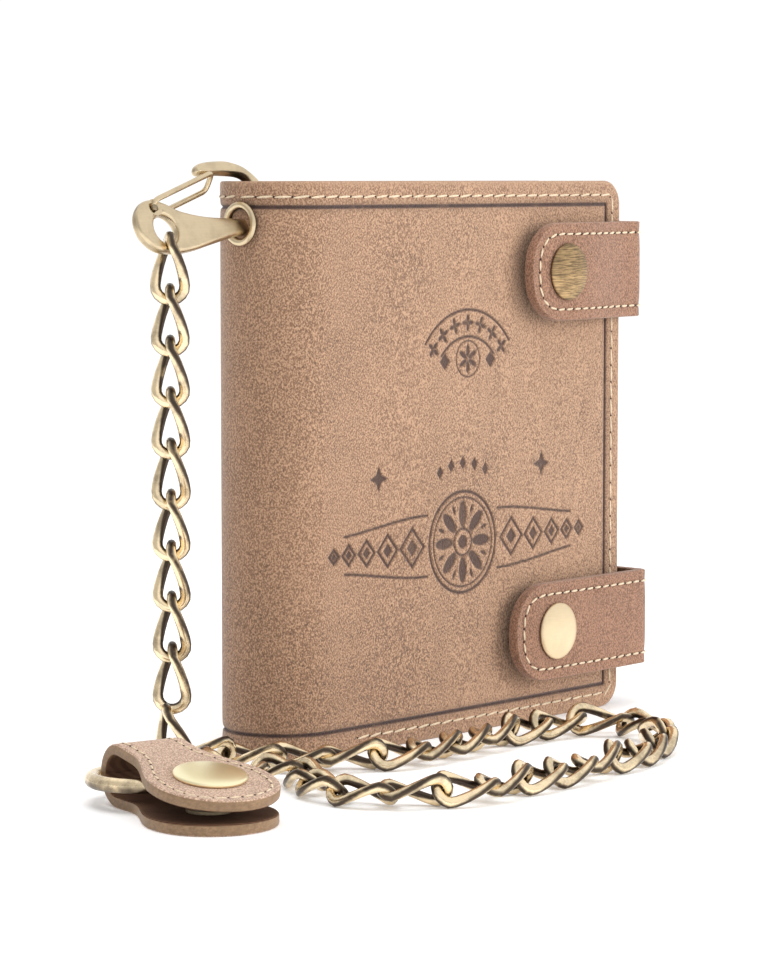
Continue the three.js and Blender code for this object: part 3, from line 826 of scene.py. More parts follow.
def on_cover(s, w, depth):
    point, heading = COVER_LINE.at(s)
    outward = Vector((-heading.y, heading.x))
    spot = point + outward * depth
    return Vector((spot.x, spot.y, w))


CREASE_ROWS = [0.0, 0.9, 1.8, 2.7, 3.6, 4.4, 4.8, 5.05, 5.3, 5.55, 5.8, 6.3, 7.4, 9.5]


def cover_relief(vert, s, w, edge):
    """Height over the plain cover: the pressed crease, the band beside it and the emblem."""
    pressed = sizes()
    inset = in_mm(pressed.crease_inset)
    groove = -in_mm(pressed.crease_depth) * math.exp(-((edge - inset) / 0.32) ** 2)
    shoulder = -0.12 * math.exp(-((edge - inset) / 1.3) ** 2)
    x = EDGE_X - s
    mask = 0.0
    if s < FLAT_LENGTH:
        mask = emblem_mask(x, w)
    vert[vert_layer["emblem"]] = mask
    return groove + shoulder - in_mm(pressed.emblem_depth) * mask


vert_layer = {}


def refine_field(bm, low_x, high_x, low_z, high_z):
    """Splits the faces under an emblem finely enough to press it into them."""
    inside = []
    for face in bm.faces:
        centre = face.calc_center_median()
        x = EDGE_X - centre.x
        if centre.z > -0.05 and low_x < x < high_x and low_z < centre.y < high_z:
            inside.append(face)
    edges = {edge for face in inside for edge in face.edges}
    bmesh.ops.subdivide_edges(bm, edges=list(edges), cuts=EMBLEM_CUTS, use_grid_fill=True)


def across_wallet(piece, wallet_y_from=-6.0, wallet_y_to=8.6):
    """A piece that bends round the spine as the back half opens."""
    x = SPINE_X + MIDDLE.x
    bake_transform(piece, "front_half", "back_half", start=(x * MM, (wallet_y_from + MIDDLE.y) * MM, 0.06),
             end=(x * MM, (wallet_y_to + MIDDLE.y) * MM, 0.06))


class CHAINWALLET_OT_shell(bpy.types.Operator):
    """Front cover, spine and back cover, as one folded sheet with a pressed crease and emblem"""

    bl_idname = "chain_wallet.shell"
    bl_label = "Leather shell"

    def execute(self, context):
        along = spread(COVER_LENGTH, CREASE_ROWS, CREASE_ROWS, 3.0)
        across = spread(HEIGHT, CREASE_ROWS, CREASE_ROWS, 3.9)
        bm = flat_sheet(along, across, [CORNER_RADIUS] * 4, COVER_THICKNESS, 0.55)
        for field in EMBLEM_FIELDS:
            refine_field(bm, *field)
        vert_layer["emblem"] = bm.verts.layers.float.new("emblem")
        fold_sheet(bm, on_cover, cover_relief)
        shell = finished("wallet_shell", bm, [cover_leather(), cover_edge(), lining_cloth()],
                         replaced=("front_cover", "spine_cover", "back_cover"))
        across_wallet(shell)
        return {"FINISHED"}


class CHAINWALLET_OT_cover_seams(bpy.types.Operator):
    """Thread along the edges of both covers"""

    bl_idname = "chain_wallet.cover_seams"
    bl_label = "Cover seams"

    def execute(self, context):
        pick = sizes()
        inset = in_mm(pick.cover_seam)
        middle = COVER_LENGTH / 2
        low, high = inset, HEIGHT - inset
        bm = bmesh.new()
        for side in (-1, 1):
            corners = [(middle + side * 0.6, high), (middle + side * (middle - inset), high),
                       (middle + side * (middle - inset), low), (middle + side * (SPINE_LENGTH / 2 + 9), low)]
            sew(bm, on_cover, rounded_route(corners, CORNER_RADIUS - inset), in_mm(pick.cover_pitch),
                in_mm(pick.thread), seed=5 + side, fill=0.47)
        seams = finished("cover_seams", bm, [thread_finish(), needle_hole()])
        across_wallet(seams)
        return {"FINISHED"}


# ---- straps ----------------------------------------------------------------------------
def strap_line(level):
    """Plan of a strap's outside, from its tip on the front round the free edge to the back."""
    strap = STRAPS[level]
    corner_x = WRAP_X - STRAP_CORNER

    def front_rise(x):
        lift = strap["tip_rise"] + (STRAP_STAND_OFF - strap["tip_rise"]) * smooth_step(
            x, strap["tip"], strap["snap"] - 5)
        down = smooth_step(x, strap["snap"] + 6, EDGE_X)
        return lift + (strap["edge_rise"] - lift) * down + STRAP_THICKNESS

    def run(start, end):
        count = round((end - start) / 1.2)
        return [start + (end - start) * i / count for i in range(count)]

    back_rise = ANCHOR_GAP + STRAP_THICKNESS
    near = -half_thickness(corner_x) - front_rise(corner_x)
    far = half_thickness(corner_x) + back_rise
    front = [(x, -half_thickness(x) - front_rise(x)) for x in run(strap["tip"], corner_x)]
    back = [(x, half_thickness(x) + back_rise) for x in (*run(STRAP_ANCHOR_X, corner_x),)][::-1]
    turn_on = arc((corner_x, near + STRAP_CORNER), STRAP_CORNER, 270, 360, 8)
    turn_off = arc((corner_x, far - STRAP_CORNER), STRAP_CORNER, 0, 90, 8)
    middle = [(WRAP_X, y) for y in (-6.0, -3.5, STRAP_SPLIT_Y, 1.5, 4.0, 6.5)]
    return FoldLine(front + turn_on + middle + turn_off + back)


STRAP_SPLIT_Y = -1.0
STRAP_EDGE_ROWS = [0.0, 1.15, 1.8, 2.5, 3.3, 4.6, 6.2, 8.0, STRAP_TIP_RADIUS]


def strap_split(line):
    """How far along the strap its two pieces meet, half way round the free edge."""
    for point, along in zip(line.points, line.along):
        if abs(point.x - WRAP_X) < 0.01 and abs(point.y - STRAP_SPLIT_Y) < 0.01:
            return along
    raise ValueError("the strap's line does not pass its split")


def strap_relief(vert, s, w, edge):
    """A strap swells a little between its seams, and dips where the thread pulls."""
    seam = in_mm(sizes().strap_seam)
    dip = -0.13 * math.exp(-((edge - seam) / 0.7) ** 2)
    return dip + 0.12 * smooth_step(edge, seam, seam + 4) - 0.12


def strap_piece(level, front):
    """One half of a strap: the flap with half of the wrap, or the anchor with the other half."""
    pick = sizes()
    low = STRAPS[level]["z"] - STRAP_HEIGHT / 2
    line = strap_line(level)
    split = strap_split(line)

    def place(s, w, depth):
        point, heading = line.at(s if front else line.length - s)
        spot = point + Vector((heading.y, -heading.x)) * depth
        height = w if front else STRAP_HEIGHT - w
        return Vector((spot.x, spot.y, low + height))

    length = split if front else line.length - split
    radius = STRAP_TIP_RADIUS if front else 3.0
    start_rows = STRAP_EDGE_ROWS if front else [0.0, 0.8, 1.7, 2.5, 3.0]
    along = spread(length, start_rows, [0.0, 0.5], 1.1)
    across = spread(STRAP_HEIGHT, STRAP_EDGE_ROWS, STRAP_EDGE_ROWS, 1.2)
    bm = flat_sheet(along, across, [radius, 0.0, 0.0, radius], STRAP_THICKNESS, 1.0)
    edge_layer = bm.verts.layers.float["edge"]
    for vert in bm.verts:
        vert[edge_layer] = min(vert.co.y, STRAP_HEIGHT - vert.co.y, vert.co.x + 0.0)
    fold_sheet(bm, place, strap_relief)
    inset = in_mm(pick.strap_seam)
    corners = [(length, inset), (inset, inset), (inset, STRAP_HEIGHT - inset), (length, STRAP_HEIGHT - inset)]
    sew(bm, place, rounded_route(corners, max(radius - inset, 0.6)), in_mm(pick.strap_pitch),
        in_mm(pick.thread), (3, 4), -0.1, 11)
    looks = [strap_leather(), strap_leather(), lining_cloth(), thread_finish(), needle_hole()]
    if front:
        return finished(f"{level}_strap_flap_leather", bm, looks,
                        replaced=(f"{level}_strap_flap", f"{level}_strap_flap_lining"))
    return finished(f"{level}_strap_rear_leather", bm, looks,
                    replaced=(f"{level}_strap_anchor", f"{level}_strap_wrap"))


class CHAINWALLET_OT_straps(bpy.types.Operator):
    """Two snap straps, each a flap in front and an anchor behind that meet on the free edge"""

    bl_idname = "chain_wallet.straps"
    bl_label = "Snap straps"

    def execute(self, context):
        def spot(x, y):
            return ((x + MIDDLE.x) * MM, (y + MIDDLE.y) * MM, 0.05)

        for level, strap in STRAPS.items():
            rear = strap_piece(level, False)
            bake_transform(rear, "back_half", f"{level}_wrap", start=spot(WRAP_X - 4.0, 12.8),
                     end=spot(WRAP_X - 0.8, 9.6))
            flap = strap_piece(level, True)
            near = -half_thickness(EDGE_X) - strap["edge_rise"]
            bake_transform(flap, f"{level}_wrap", f"{level}_flap", start=spot(WRAP_X - 0.8, near + 0.9),
                     end=spot(WRAP_X - 4.0, near - 2.3))
        return {"FINISHED"}


# ---- snap caps and eyelet --------------------------------------------------------------
def snap_cap(radius, face, neck_from):
    """A pressed cap: a low dome that turns down at its rim, on its neck."""
    profile = [(0.0, neck_from), (1.9, neck_from), (1.9, face), (radius - 0.3, face),
               (radius - 0.06, face + 0.16), (radius, face + 0.42), (radius - 0.05, face + 0.66),
               (radius - 0.22, face + 0.86), (radius - 0.5, face + 0.99)]
    dome = radius - 0.5
    for i in range(1, 11):
        r = dome * (1 - i / 10)
        profile.append((r, face + 0.99 + 0.91 * (1 - (r / dome) ** 2) ** 0.85))
    bm = turned(profile, 64)
    return mark_wear_and_shade(bm, lambda vert: smooth_step(vert.co.z, face + 0.1, face + 0.6))


class CHAINWALLET_OT_caps(bpy.types.Operator):
    """The domed caps of the three snaps"""

    bl_idname = "chain_wallet.caps"
    bl_label = "Snap caps"

    def execute(self, context):
        looks = {"lower": cap_brass(), "upper": dark_cap_brass()}
        for level, strap in STRAPS.items():
            bm = snap_cap(6.3, STRAP_STAND_OFF + STRAP_THICKNESS + 0.02, STRAP_STAND_OFF + 0.1)
            place = TO_PART @ front_place(strap["snap"], strap["z"])
            finished(f"{level}_snap_dome", bm, [looks[level]], f"{level}_flap",
                     (f"{level}_snap_cap",), place=place)
        bm = snap_cap(7.1, TAB_THICKNESS + 0.02, 0.1)
        finished("tab_snap_dome", bm, [tab_cap_brass()], "tab_flap", ("tab_snap_cap",),
                 place=TO_PART @ TAB_TO_WALLET @ tab_flap_frame() @ Matrix.Translation((TAB_SNAP - 3.5, 0, 0)))
        return {"FINISHED"}


def tab_flap_frame():
    return Matrix.Translation((3.5, 0, 10.2)) @ Matrix.Rotation(TAB_SLOPE, 4, "Y")


class CHAINWALLET_OT_eyelet(bpy.types.Operator):
    """The rolled eyelet at the top of the spine"""

    bl_idname = "chain_wallet.eyelet"
    bl_label = "Eyelet"

    def execute(self, context):
        flange, hole, barrel = 4.6, 3.2, 3.7
        crown = [((flange + hole) / 2 + (flange - hole) / 2 * math.cos(t), 0.42 + 0.72 * math.sin(t))
                 for t in (math.radians(a) for a in range(0, 181, 20))]
        bm = turned([(barrel, -4), (barrel, 0.12), (flange - 0.1, 0.15), *crown, (hole, -4), (barrel, -4)], 48)
        mark_wear_and_shade(bm, lambda vert: 0.9 if vert.co.z > 0.5 else 0.25)
        place = axes(EYELET, Vector((0, 0, 1)), Vector((0, 1, 0)), Vector((-1, 0, 0)))
        finished("eyelet_ring", bm, [hook_brass()], "front_half", ("eyelet_barrel",),
                 place=TO_PART @ place)
        return {"FINISHED"}


# ---- snap hook -------------------------------------------------------------------------
def hook_place():
    """The hook's plane: X outwards from the spine, Y up the plane, Z across it."""
    v = Vector((0, math.sin(HOOK_LEAN), math.cos(HOOK_LEAN)))
    u = Vector((-1, 0, 0))
    return axes(EYELET, u, v, u.cross(v))


def mesh_from_curve(curve):
    """A curve turned into a bmesh, its doubles merged and its normals outwards."""
    helper = bpy.data.objects.new(curve.name, curve)
    bpy.context.scene.collection.objects.link(helper)
    bpy.context.view_layer.update()
    mesh = bpy.data.meshes.new_from_object(helper.evaluated_get(bpy.context.evaluated_depsgraph_get()))
    bpy.data.objects.remove(helper)
    bpy.data.curves.remove(curve)
    bm = bmesh.new()
    bm.from_mesh(mesh)
    bpy.data.meshes.remove(mesh)
    bmesh.ops.remove_doubles(bm, verts=bm.verts, dist=0.002)
    bmesh.ops.recalc_face_normals(bm, faces=bm.faces)
    return bm


def closed_spline(curve, points, closed=True):
    spline = curve.splines.new("POLY")
    spline.points.add(len(points) - 1)
    for target, point in zip(spline.points, points):
        target.co = (*point, *([0.0] * (3 - len(point))), 1.0)
    spline.use_cyclic_u = closed


def smooth_loop(points, steps=5):
    """A closed line that runs smoothly through its points."""
    loop = []
    count = len(points)
    for i in range(count):
        p0, p1, p2, p3 = (Vector(points[(i + k - 1) % count]) for k in range(4))
        for j in range(steps):
            t = j / steps
            loop.append(0.5 * (2 * p1 + (p2 - p0) * t + (2 * p0 - 5 * p1 + 4 * p2 - p3) * t * t
                               + (3 * p1 - p0 - 3 * p2 + p3) * t * t * t))
    return loop


def circle_points(centre, radius, count=28):
    return [(centre[0] + radius * math.cos(2 * math.pi * i / count),
             centre[1] + radius * math.sin(2 * math.pi * i / count)) for i in range(count)]


class CHAINWALLET_OT_hook(bpy.types.Operator):
    """The snap hook through the eyelet, its sprung wire gate and the gate's pin"""

    bl_idname = "chain_wallet.hook"
    bl_label = "Snap hook"

    def execute(self, context):
        place = TO_PART @ hook_place()
        curve = bpy.data.curves.new("hook_outline", "CURVE")
        curve.dimensions = "2D"
        curve.fill_mode = "BOTH"
        rounding = 0.95
        curve.bevel_depth = rounding
        curve.bevel_resolution = 4
        curve.offset = -rounding
        curve.extrude = HOOK_HALF_THICKNESS - rounding
        closed_spline(curve, smooth_loop(HOOK_OUTLINE))
        for u, v, radius in (HOOK_EYE, GATE_PIVOT):
            closed_spline(curve, circle_points((u, v), radius))
        bm = mesh_from_curve(curve)
        # Painted reflection: the flat faces are marked bright and the rounded sides darker, for the dark outlines that
        # the polished edges reflect.
        mark_wear_and_shade(bm, lambda vert: 0.95 if abs(vert.co.z) > 0.5 else 0.55)
        finished("snap_hook", bm, [hook_brass()], "front_half", ("hook_body",), place=place)

        wire = 0.575
        near = Vector((GATE_PIVOT[0], GATE_PIVOT[1], 0))
        far = Vector((GATE_TIP[0], GATE_TIP[1], 0))
        pull = (far - near).normalized() * 1.5
        spread_to = Vector((0, -1.3, 1.7))
        rounds = [(near, -1, pull), (far, -1, -pull), (far, 1, -pull), (near, 1, pull)]
        loop = []
        for i, (end, side, inward) in enumerate(rounds):
            corner = end + spread_to * side
            across = -spread_to.normalized() * side * 1.5
            enter, leave = (across, inward) if i % 2 == 0 else (inward, across)
            for k in range(6):
                t = k / 5
                a = corner + enter
                b = corner + leave
                loop.append(tuple(a.lerp(corner, t).lerp(corner.lerp(b, t), t)))
        gate = bpy.data.curves.new("gate_line", "CURVE")
        gate.dimensions = "3D"
        gate.bevel_depth = wire
        gate.bevel_resolution = 4
        closed_spline(gate, loop)
        bm = mesh_from_curve(gate)
        mark_wear_and_shade(bm, lambda vert: 0.7)
        finished("spring_gate", bm, [hook_brass()], "gate", ("hook_gate",), place=place)

        pin = turned([(0, -1.62), (0.35, -1.6), (0.66, -1.45), (0.72, -1.3), (0.72, 1.3), (0.66, 1.45),
                      (0.35, 1.6), (0, 1.62)], 24)
        mark_wear_and_shade(pin, lambda vert: 0.4)
        finished("gate_pin", pin, [hook_brass()], "front_half",
                 place=place @ Matrix.Translation((GATE_PIVOT[0], GATE_PIVOT[1], 0)))
        return {"FINISHED"}


# ---- chain and ring --------------------------------------------------------------------
def ring_place():
    return TAB_TO_WALLET @ Matrix.Translation(RING_CENTRE) @ Matrix.Rotation(-RING_TILT, 4, "Y")


def smooth_line(points, steps=6):
    """A line that runs smoothly through its points, at an even pace."""
    ends = [2 * points[0] - points[1], *points, 2 * points[-1] - points[-2]]
    line = []
    for p0, p1, p2, p3 in zip(ends, ends[1:], ends[2:], ends[3:]):
        t0 = 0.0
        t1 = t0 + (p1 - p0).length ** 0.5
        t2 = t1 + (p2 - p1).length ** 0.5
        t3 = t2 + (p3 - p2).length ** 0.5
        for j in range(steps):
            t = t1 + (t2 - t1) * j / steps
            a1 = p0 * ((t1 - t) / (t1 - t0)) + p1 * ((t - t0) / (t1 - t0))
            a2 = p1 * ((t2 - t) / (t2 - t1)) + p2 * ((t - t1) / (t2 - t1))
            a3 = p2 * ((t3 - t) / (t3 - t2)) + p3 * ((t - t2) / (t3 - t2))
            b1 = a1 * ((t2 - t) / (t2 - t0)) + a2 * ((t - t0) / (t2 - t0))
            b2 = a2 * ((t3 - t) / (t3 - t1)) + a3 * ((t - t1) / (t3 - t1))
            line.append(b1 * ((t2 - t) / (t2 - t1)) + b2 * ((t - t1) / (t2 - t1)))
    return [*line, points[-1]]


def chain_route():
    """The chain's line: down from the hook's eye, over the floor and up to the key ring."""
    hang = [Vector((HANG_X, HANG_Y, z)) for z in (HANG_TOP, 85.0, 60.0, 36.0, 18.0, HANG_FOOT)]
    turn = [Vector((-76.6, -4.1, 4.6))]
    floor = [Vector((x, y, RUN_HEIGHT)) for x, y in FLOOR_ROUTE]
    out = Vector((math.cos(RING_LINK_ANGLE), math.sin(RING_LINK_ANGLE), 0))
    place = ring_place()
    hold = place @ (out * RING_RADIUS)
    link = place @ (out * (RING_RADIUS + LINK_HALF - (LINK_WIRE + RING_WIRE) / 2 - 0.1))
    return smooth_line([*hang, *turn, *floor[:-1], link, hold])


def link_mesh(twist):
    """One curb link: a stadium of wire along Z, twisted end against end."""
    bm = bmesh.new()
    side = (LINK_WIDTH - LINK_WIRE) / 2
    straight = LINK_HALF - side
    made = bmesh.ops.create_circle(bm, segments=12, radius=LINK_WIRE / 2,
                                   matrix=Matrix.Translation((side, 0, -straight)))
    section = [edge for edge in {e for v in made["verts"] for e in v.link_edges}]
    for way in (1, -1):
        for _ in range(5):
            made = bmesh.ops.extrude_edge_only(bm, edges=section)
            verts = [item for item in made["geom"] if isinstance(item, bmesh.types.BMVert)]
            section = [item for item in made["geom"] if isinstance(item, bmesh.types.BMEdge)]
            bmesh.ops.translate(bm, verts=verts, vec=(0, 0, way * 2 * straight / 5))
        made = bmesh.ops.spin(bm, geom=section, cent=(0, 0, way * straight), axis=(0, -1, 0),
                              angle=math.pi, steps=9, use_merge=False, use_duplicate=False)
        section = [item for item in made["geom_last"] if isinstance(item, bmesh.types.BMEdge)]
    bmesh.ops.remove_doubles(bm, verts=bm.verts, dist=0.01)
    bmesh.ops.recalc_face_normals(bm, faces=bm.faces)
    bm.normal_update()

    # Partly wear, partly painted: the flat faces are worn bright, and the darker flanks and inner sides are painted
    # reflections and painted shade between links.
    def worn(vert):
        reach = vert.co.z - math.copysign(min(abs(vert.co.z), straight), vert.co.z)
        arm = Vector((vert.co.x, 0.0, reach))
        core = arm.normalized() * side
        inward = (core.length - arm.length) / (LINK_WIRE / 2)
        face = abs(vert.co.y) / (LINK_WIRE / 2)
        return smooth_step(face - 0.35 * max(inward, 0.0), 0.25, 0.85)

    mark_wear_and_shade(bm, worn)
    for vert in bm.verts:
        if abs(vert.co.y) > 0.8 * LINK_WIRE / 2:
            vert.co.y *= 0.93
        turn = twist / 2 * max(-1.0, min(1.0, vert.co.z / (straight + side * 0.55)))
        x, y = vert.co.x, vert.co.y
        vert.co.x = x * math.cos(turn) - y * math.sin(turn)
        vert.co.y = x * math.sin(turn) + y * math.cos(turn)
    mesh = bpy.data.meshes.new("link")
    bm.to_mesh(mesh)
    bm.free()
    return mesh


class CHAINWALLET_OT_chain(bpy.types.Operator):
    """The key ring and the curb chain from the hook's eye to it"""

    bl_idname = "chain_wallet.chain"
    bl_label = "Chain and key ring"

    def execute(self, context):
        pick = sizes()
        ring_bm = bmesh.new()
        made = bmesh.ops.create_circle(ring_bm, segments=16, radius=RING_WIRE / 2,
                                       matrix=Matrix.Translation((RING_RADIUS, 0, 0))
                                       @ Matrix.Rotation(math.pi / 2, 4, "X"))
        edges = [edge for edge in {e for v in made["verts"] for e in v.link_edges}]
        bmesh.ops.spin(ring_bm, geom=made["verts"] + edges, cent=(0, 0, 0), axis=(0, 0, 1),
                       angle=2 * math.pi, steps=56, use_merge=True, use_duplicate=False)
        bmesh.ops.remove_doubles(ring_bm, verts=ring_bm.verts, dist=0.001)
        bmesh.ops.recalc_face_normals(ring_bm, faces=ring_bm.faces)
        # Painted shade: the ring is marked lighter on top and darker towards its underside.
        mark_wear_and_shade(ring_bm, lambda vert: 0.35 + 0.6 * smooth_step(vert.co.z, -0.3, 0.8))
        ring = finished("belt_ring", ring_bm, [chain_brass()], "front_half", ("key_ring",),
                        place=TO_PART @ ring_place())

        line = FoldLine(chain_route())
        room = line.length - LINK_HALF - (LINK_HALF - (LINK_WIRE + RING_WIRE) / 2 - 0.1)
        count = round(room / LINK_PITCH) + 1
        step = room / (count - 1)
        rng = random.Random(21)
        template = link_mesh(pick.link_twist)
        bm = bmesh.new()
        hang_side = Matrix.Rotation(math.radians(42), 3, (0, 0, -1)) @ Vector((0.68, -0.73, 0))
        for i in range(count):
            s = LINK_HALF + step * i
            centre, heading = line.at(s)
            before, _ = line.at(s - LINK_PITCH / 2)
            after, _ = line.at(s + LINK_PITCH / 2)
            heading = (after - before).normalized()
            steep = smooth_step(abs(heading.z), 0.3, 0.9)
            flat_side = heading.cross(Vector((0, 0, 1)))
            if i == count - 1:
                flat_side = Vector((0, 0, 1))
            side = (flat_side.normalized() if flat_side.length > 0.05 else hang_side).lerp(hang_side, steep)
            side = (side - heading * side.dot(heading)).normalized()
            if i < count - 1:
                unrest = pick.link_unrest * (1.0 - 0.7 * steep)
                roll = rng.uniform(-1, 1) * unrest
                side = Matrix.Rotation(roll, 3, heading) @ side
            depth = heading.cross(side)
            first = len(bm.verts)
            bm.from_mesh(template)
            bm.verts.ensure_lookup_table()
            verts = bm.verts[first:]
            bmesh.ops.transform(bm, matrix=axes(centre, side, depth, heading), verts=verts)
            lowest = min(vert.co.z for vert in verts)
            if centre.z < 12 and i < count - 1:
                bmesh.ops.translate(bm, verts=verts, vec=(0, 0, 0.06 - lowest))
        bpy.data.meshes.remove(template)
        chain = finished("wallet_chain", bm, [chain_brass()], "front_half",
                         ("chain_floor_run", "chain_end_link",
                          *[f"chain_link_{k:02d}" for k in range(1, 11)]))
        path = [tuple(TO_PART @ point) for point in line.points]
        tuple(path[0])
        return {"FINISHED"}


# ---- belt tab --------------------------------------------------------------------------
TAB_BAND = 2.6


def tab_line(upper):
    """The tab's outside in section, from the middle of its fold to its round end."""
    centre = (3.2, TAB_BEND)
    if upper:
        turn = arc(centre, TAB_BEND, 180, 90 - math.degrees(TAB_SLOPE), 14)
        reach = (TAB_END_CENTRE + TAB_END - 3.5) + 0.3
        end = Vector(turn[-1]) + Vector((math.cos(TAB_SLOPE), -math.sin(TAB_SLOPE))) * reach
    else:
        turn = arc(centre, TAB_BEND, 180, 270, 14)
        end = Vector((TAB_END_CENTRE + TAB_END, 0.0))
    start = Vector(turn[-1])
    straight = [start.lerp(end, i / 12) for i in range(1, 13)]
    return FoldLine([*turn, *straight])


def tab_half_width(from_end):
    """Half width of the tab at a distance from its round end: widest at the end's centre."""
    along = TAB_END_CENTRE + TAB_END - from_end
    return TAB_NECK + (TAB_END - TAB_NECK) * smooth_step(along, 8.5, TAB_END_CENTRE - 1.5)


def tab_piece(upper):
    pick = sizes()
    line = tab_line(upper)
    length = line.length
    way = 1.0 if upper else -1.0

    def narrowed(s, w):
        across = w - TAB_END
        half = tab_half_width(s)
        inset = TAB_END - abs(across)
        if inset < TAB_BAND:
            new = half - inset
        else:
            new = (half - TAB_BAND) * abs(across) / (TAB_END - TAB_BAND)
        return math.copysign(new, across) if abs(across) > 1e-6 else 0.0

    def place(s, w, depth):
        point, heading = line.at(length - s)
        outward = Vector((-heading.y, heading.x)) * way
        spot = point + outward * depth
        sag = 0.0
        return Vector((spot.x, narrowed(s, w) * way, spot.y + sag))

    rows = [0.0, 0.75, 1.5, 2.2, 3.0, 4.2, 5.6, 7.2, 9.0, 10.8]
    along = spread(length, [*rows, TAB_END], [0.0, 0.5], 0.9)
    across = spread(2 * TAB_END, rows, rows, 1.7)
    bm = flat_sheet(along, across, [TAB_END, 0.0, 0.0, TAB_END], TAB_THICKNESS, 0.72)
    fold_sheet(bm, place, lambda vert, s, w, edge: -0.12 * math.exp(-((edge - in_mm(pick.tab_seam)) / 0.6) ** 2))
    inset = in_mm(pick.tab_seam)
    corners = [(length - 0.3, inset), (inset, inset), (inset, 2 * TAB_END - inset), (length - 0.3, 2 * TAB_END - inset)]
    if upper:
        sew(bm, place, rounded_route(corners, TAB_END - inset, 14), in_mm(pick.strap_pitch),
            in_mm(pick.thread) * 0.95, (3, 4), -0.08, 17)
    looks = [tab_leather(), tab_edge(), lining_cloth(), thread_finish(), needle_hole()]
    name = "belt_tab_upper" if upper else "belt_tab_lower"
    nodes = ("tab_fold", "tab_upper_leaf", "tab_upper_lining") if upper else ("tab_lower_leaf",)
    return finished(name, bm, looks, replaced=nodes, place=TO_PART @ TAB_TO_WALLET)


class CHAINWALLET_OT_tab(bpy.types.Operator):
    """The belt tab, a leaf folded round the key ring and held by a snap"""

    bl_idname = "chain_wallet.tab"
    bl_label = "Belt tab"

    def execute(self, context):
        lower = tab_piece(False)
        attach(lower, "front_half")
        upper = tab_piece(True)
        start = TO_PART @ (TAB_TO_WALLET @ Vector((-3.0, 0, 9.0)))
        end = TO_PART @ (TAB_TO_WALLET @ Vector((4.5, 0, 9.0)))
        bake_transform(upper, "front_half", "tab_flap", start=tuple(start), end=tuple(end))
        return {"FINISHED"}


# ---- inside ----------------------------------------------------------------------------
def inner_leaf(name, body, x_span, z_span, face_y, thickness, away, radii, seam, looks, node, curved=False):
    """A leaf inside the wallet. Its face looks to the middle and it is thick away from it."""
    x_from, x_to = x_span
    z_from, z_to = z_span

    def place(s, w, depth):
        x = x_from + s
        y = face_y
        if curved:
            y = away * (half_thickness(x) - LINING_INSET - LINING_THICKNESS)
        return Vector((x, y - away * depth, z_from + w))

    rows = [0.0, 0.5, 1.6, 2.4, 4.2]
    along = spread(x_to - x_from, rows, rows, 5.0)
    across = spread(z_to - z_from, rows if z_to - z_from > 12 else [0.0, 0.5], [0.0, 0.5], 5.0)
    bm = flat_sheet(along, across, radii, thickness, min(0.25, thickness * 0.32))
    fold_sheet(bm, place)
    if seam:
        inset = 1.8
        high = z_to - z_from
        long = x_to - x_from
        routes = {"around": [(inset, high), (inset, inset), (long - inset, inset), (long - inset, high)],
                  "top": [(inset, high - inset), (long - inset, high - inset)]}
        sew(bm, place, rounded_route(routes[seam], 1.2), in_mm(sizes().cover_pitch), 0.42, (3, 4), 0.0, 23)
    return finished(name, bm, [*looks, thread_finish(), needle_hole()], body,
                    (node,))


class CHAINWALLET_OT_inside(bpy.types.Operator):
    """Linings, inner panels, card pockets and the coin pocket"""

    bl_idname = "chain_wallet.inside"
    bl_label = "Inside"

    def execute(self, context):
        cloth = [lining_cloth(), lining_cloth(), lining_cloth()]
        hide = [strap_leather(), strap_edge(), lining_cloth()]
        far = [0.0, 4.0, 4.0, 0.0]
        tall = (1.5, 118.5)
        for half, away in (("front", -1), ("back", 1)):
            body = f"{half}_half"
            inner_leaf(f"{half}_note_lining", body, LINING_X, tall, 0.0, LINING_THICKNESS, away, far,
                       None, cloth, f"{half}_lining", True)
            inner_leaf(f"{half}_panel_leaf", body, LINING_X, tall, away * 2.0, 0.8, away, far, "top", hide,
                       f"{half}_inner_panel")
        for i in range(3):
            low = 4.0 + 28.0 * i
            inner_leaf(f"card_pocket_leaf_{i + 1}", "front_half", (-37.1, 51.5), (low, low + 27.0), -0.9, 0.85,
                       -1, [0.6] * 4, "around", hide, f"card_pocket_{i + 1}")
        coin = (-35.1, 48.5)
        inner_leaf("coin_pocket_leaf", "back_half", coin, (5.0, 66.0), 0.9, 0.85, 1, [2.0] * 4, "around", hide,
                   "coin_pocket")
        inner_leaf("coin_flap_leaf", "back_half", coin, (44.0, 74.0), 0.15, 0.5, 1, [6.0, 6.0, 0.6, 0.6],
                   None, hide, "coin_pocket_flap")
        for node in ("front_gusset", "back_gusset", "coin_pocket_gusset"):
            dress(node, lining_cloth())
        return {"FINISHED"}


def dress(node, material):
    """Gives a node that stays shown its finish."""
    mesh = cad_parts[node].data
    mesh.materials.clear()
    mesh.materials.append(material)


class CHAINWALLET_OT_rivets(bpy.types.Operator):
    """Finish of the snap studs, posts and sockets and of the eyelet's washer"""

    bl_idname = "chain_wallet.rivets"
    bl_label = "Snap parts"

    def execute(self, context):
        for snap in ("upper_snap", "lower_snap", "tab_snap"):
            for kind in ("socket", "stud", "post"):
                dress(f"{snap}_{kind}", plain_brass())
        dress("eyelet_washer", plain_brass())
        return {"FINISHED"}


# ---- stage -----------------------------------------------------------------------------
CAMERA_PLACE = Vector((-553.26, -500.53, 121.25))
CAMERA_YAW = math.radians(47.2498)
CAMERA_PITCH = math.radians(5.0963)
CAMERA_LENS = 128.2


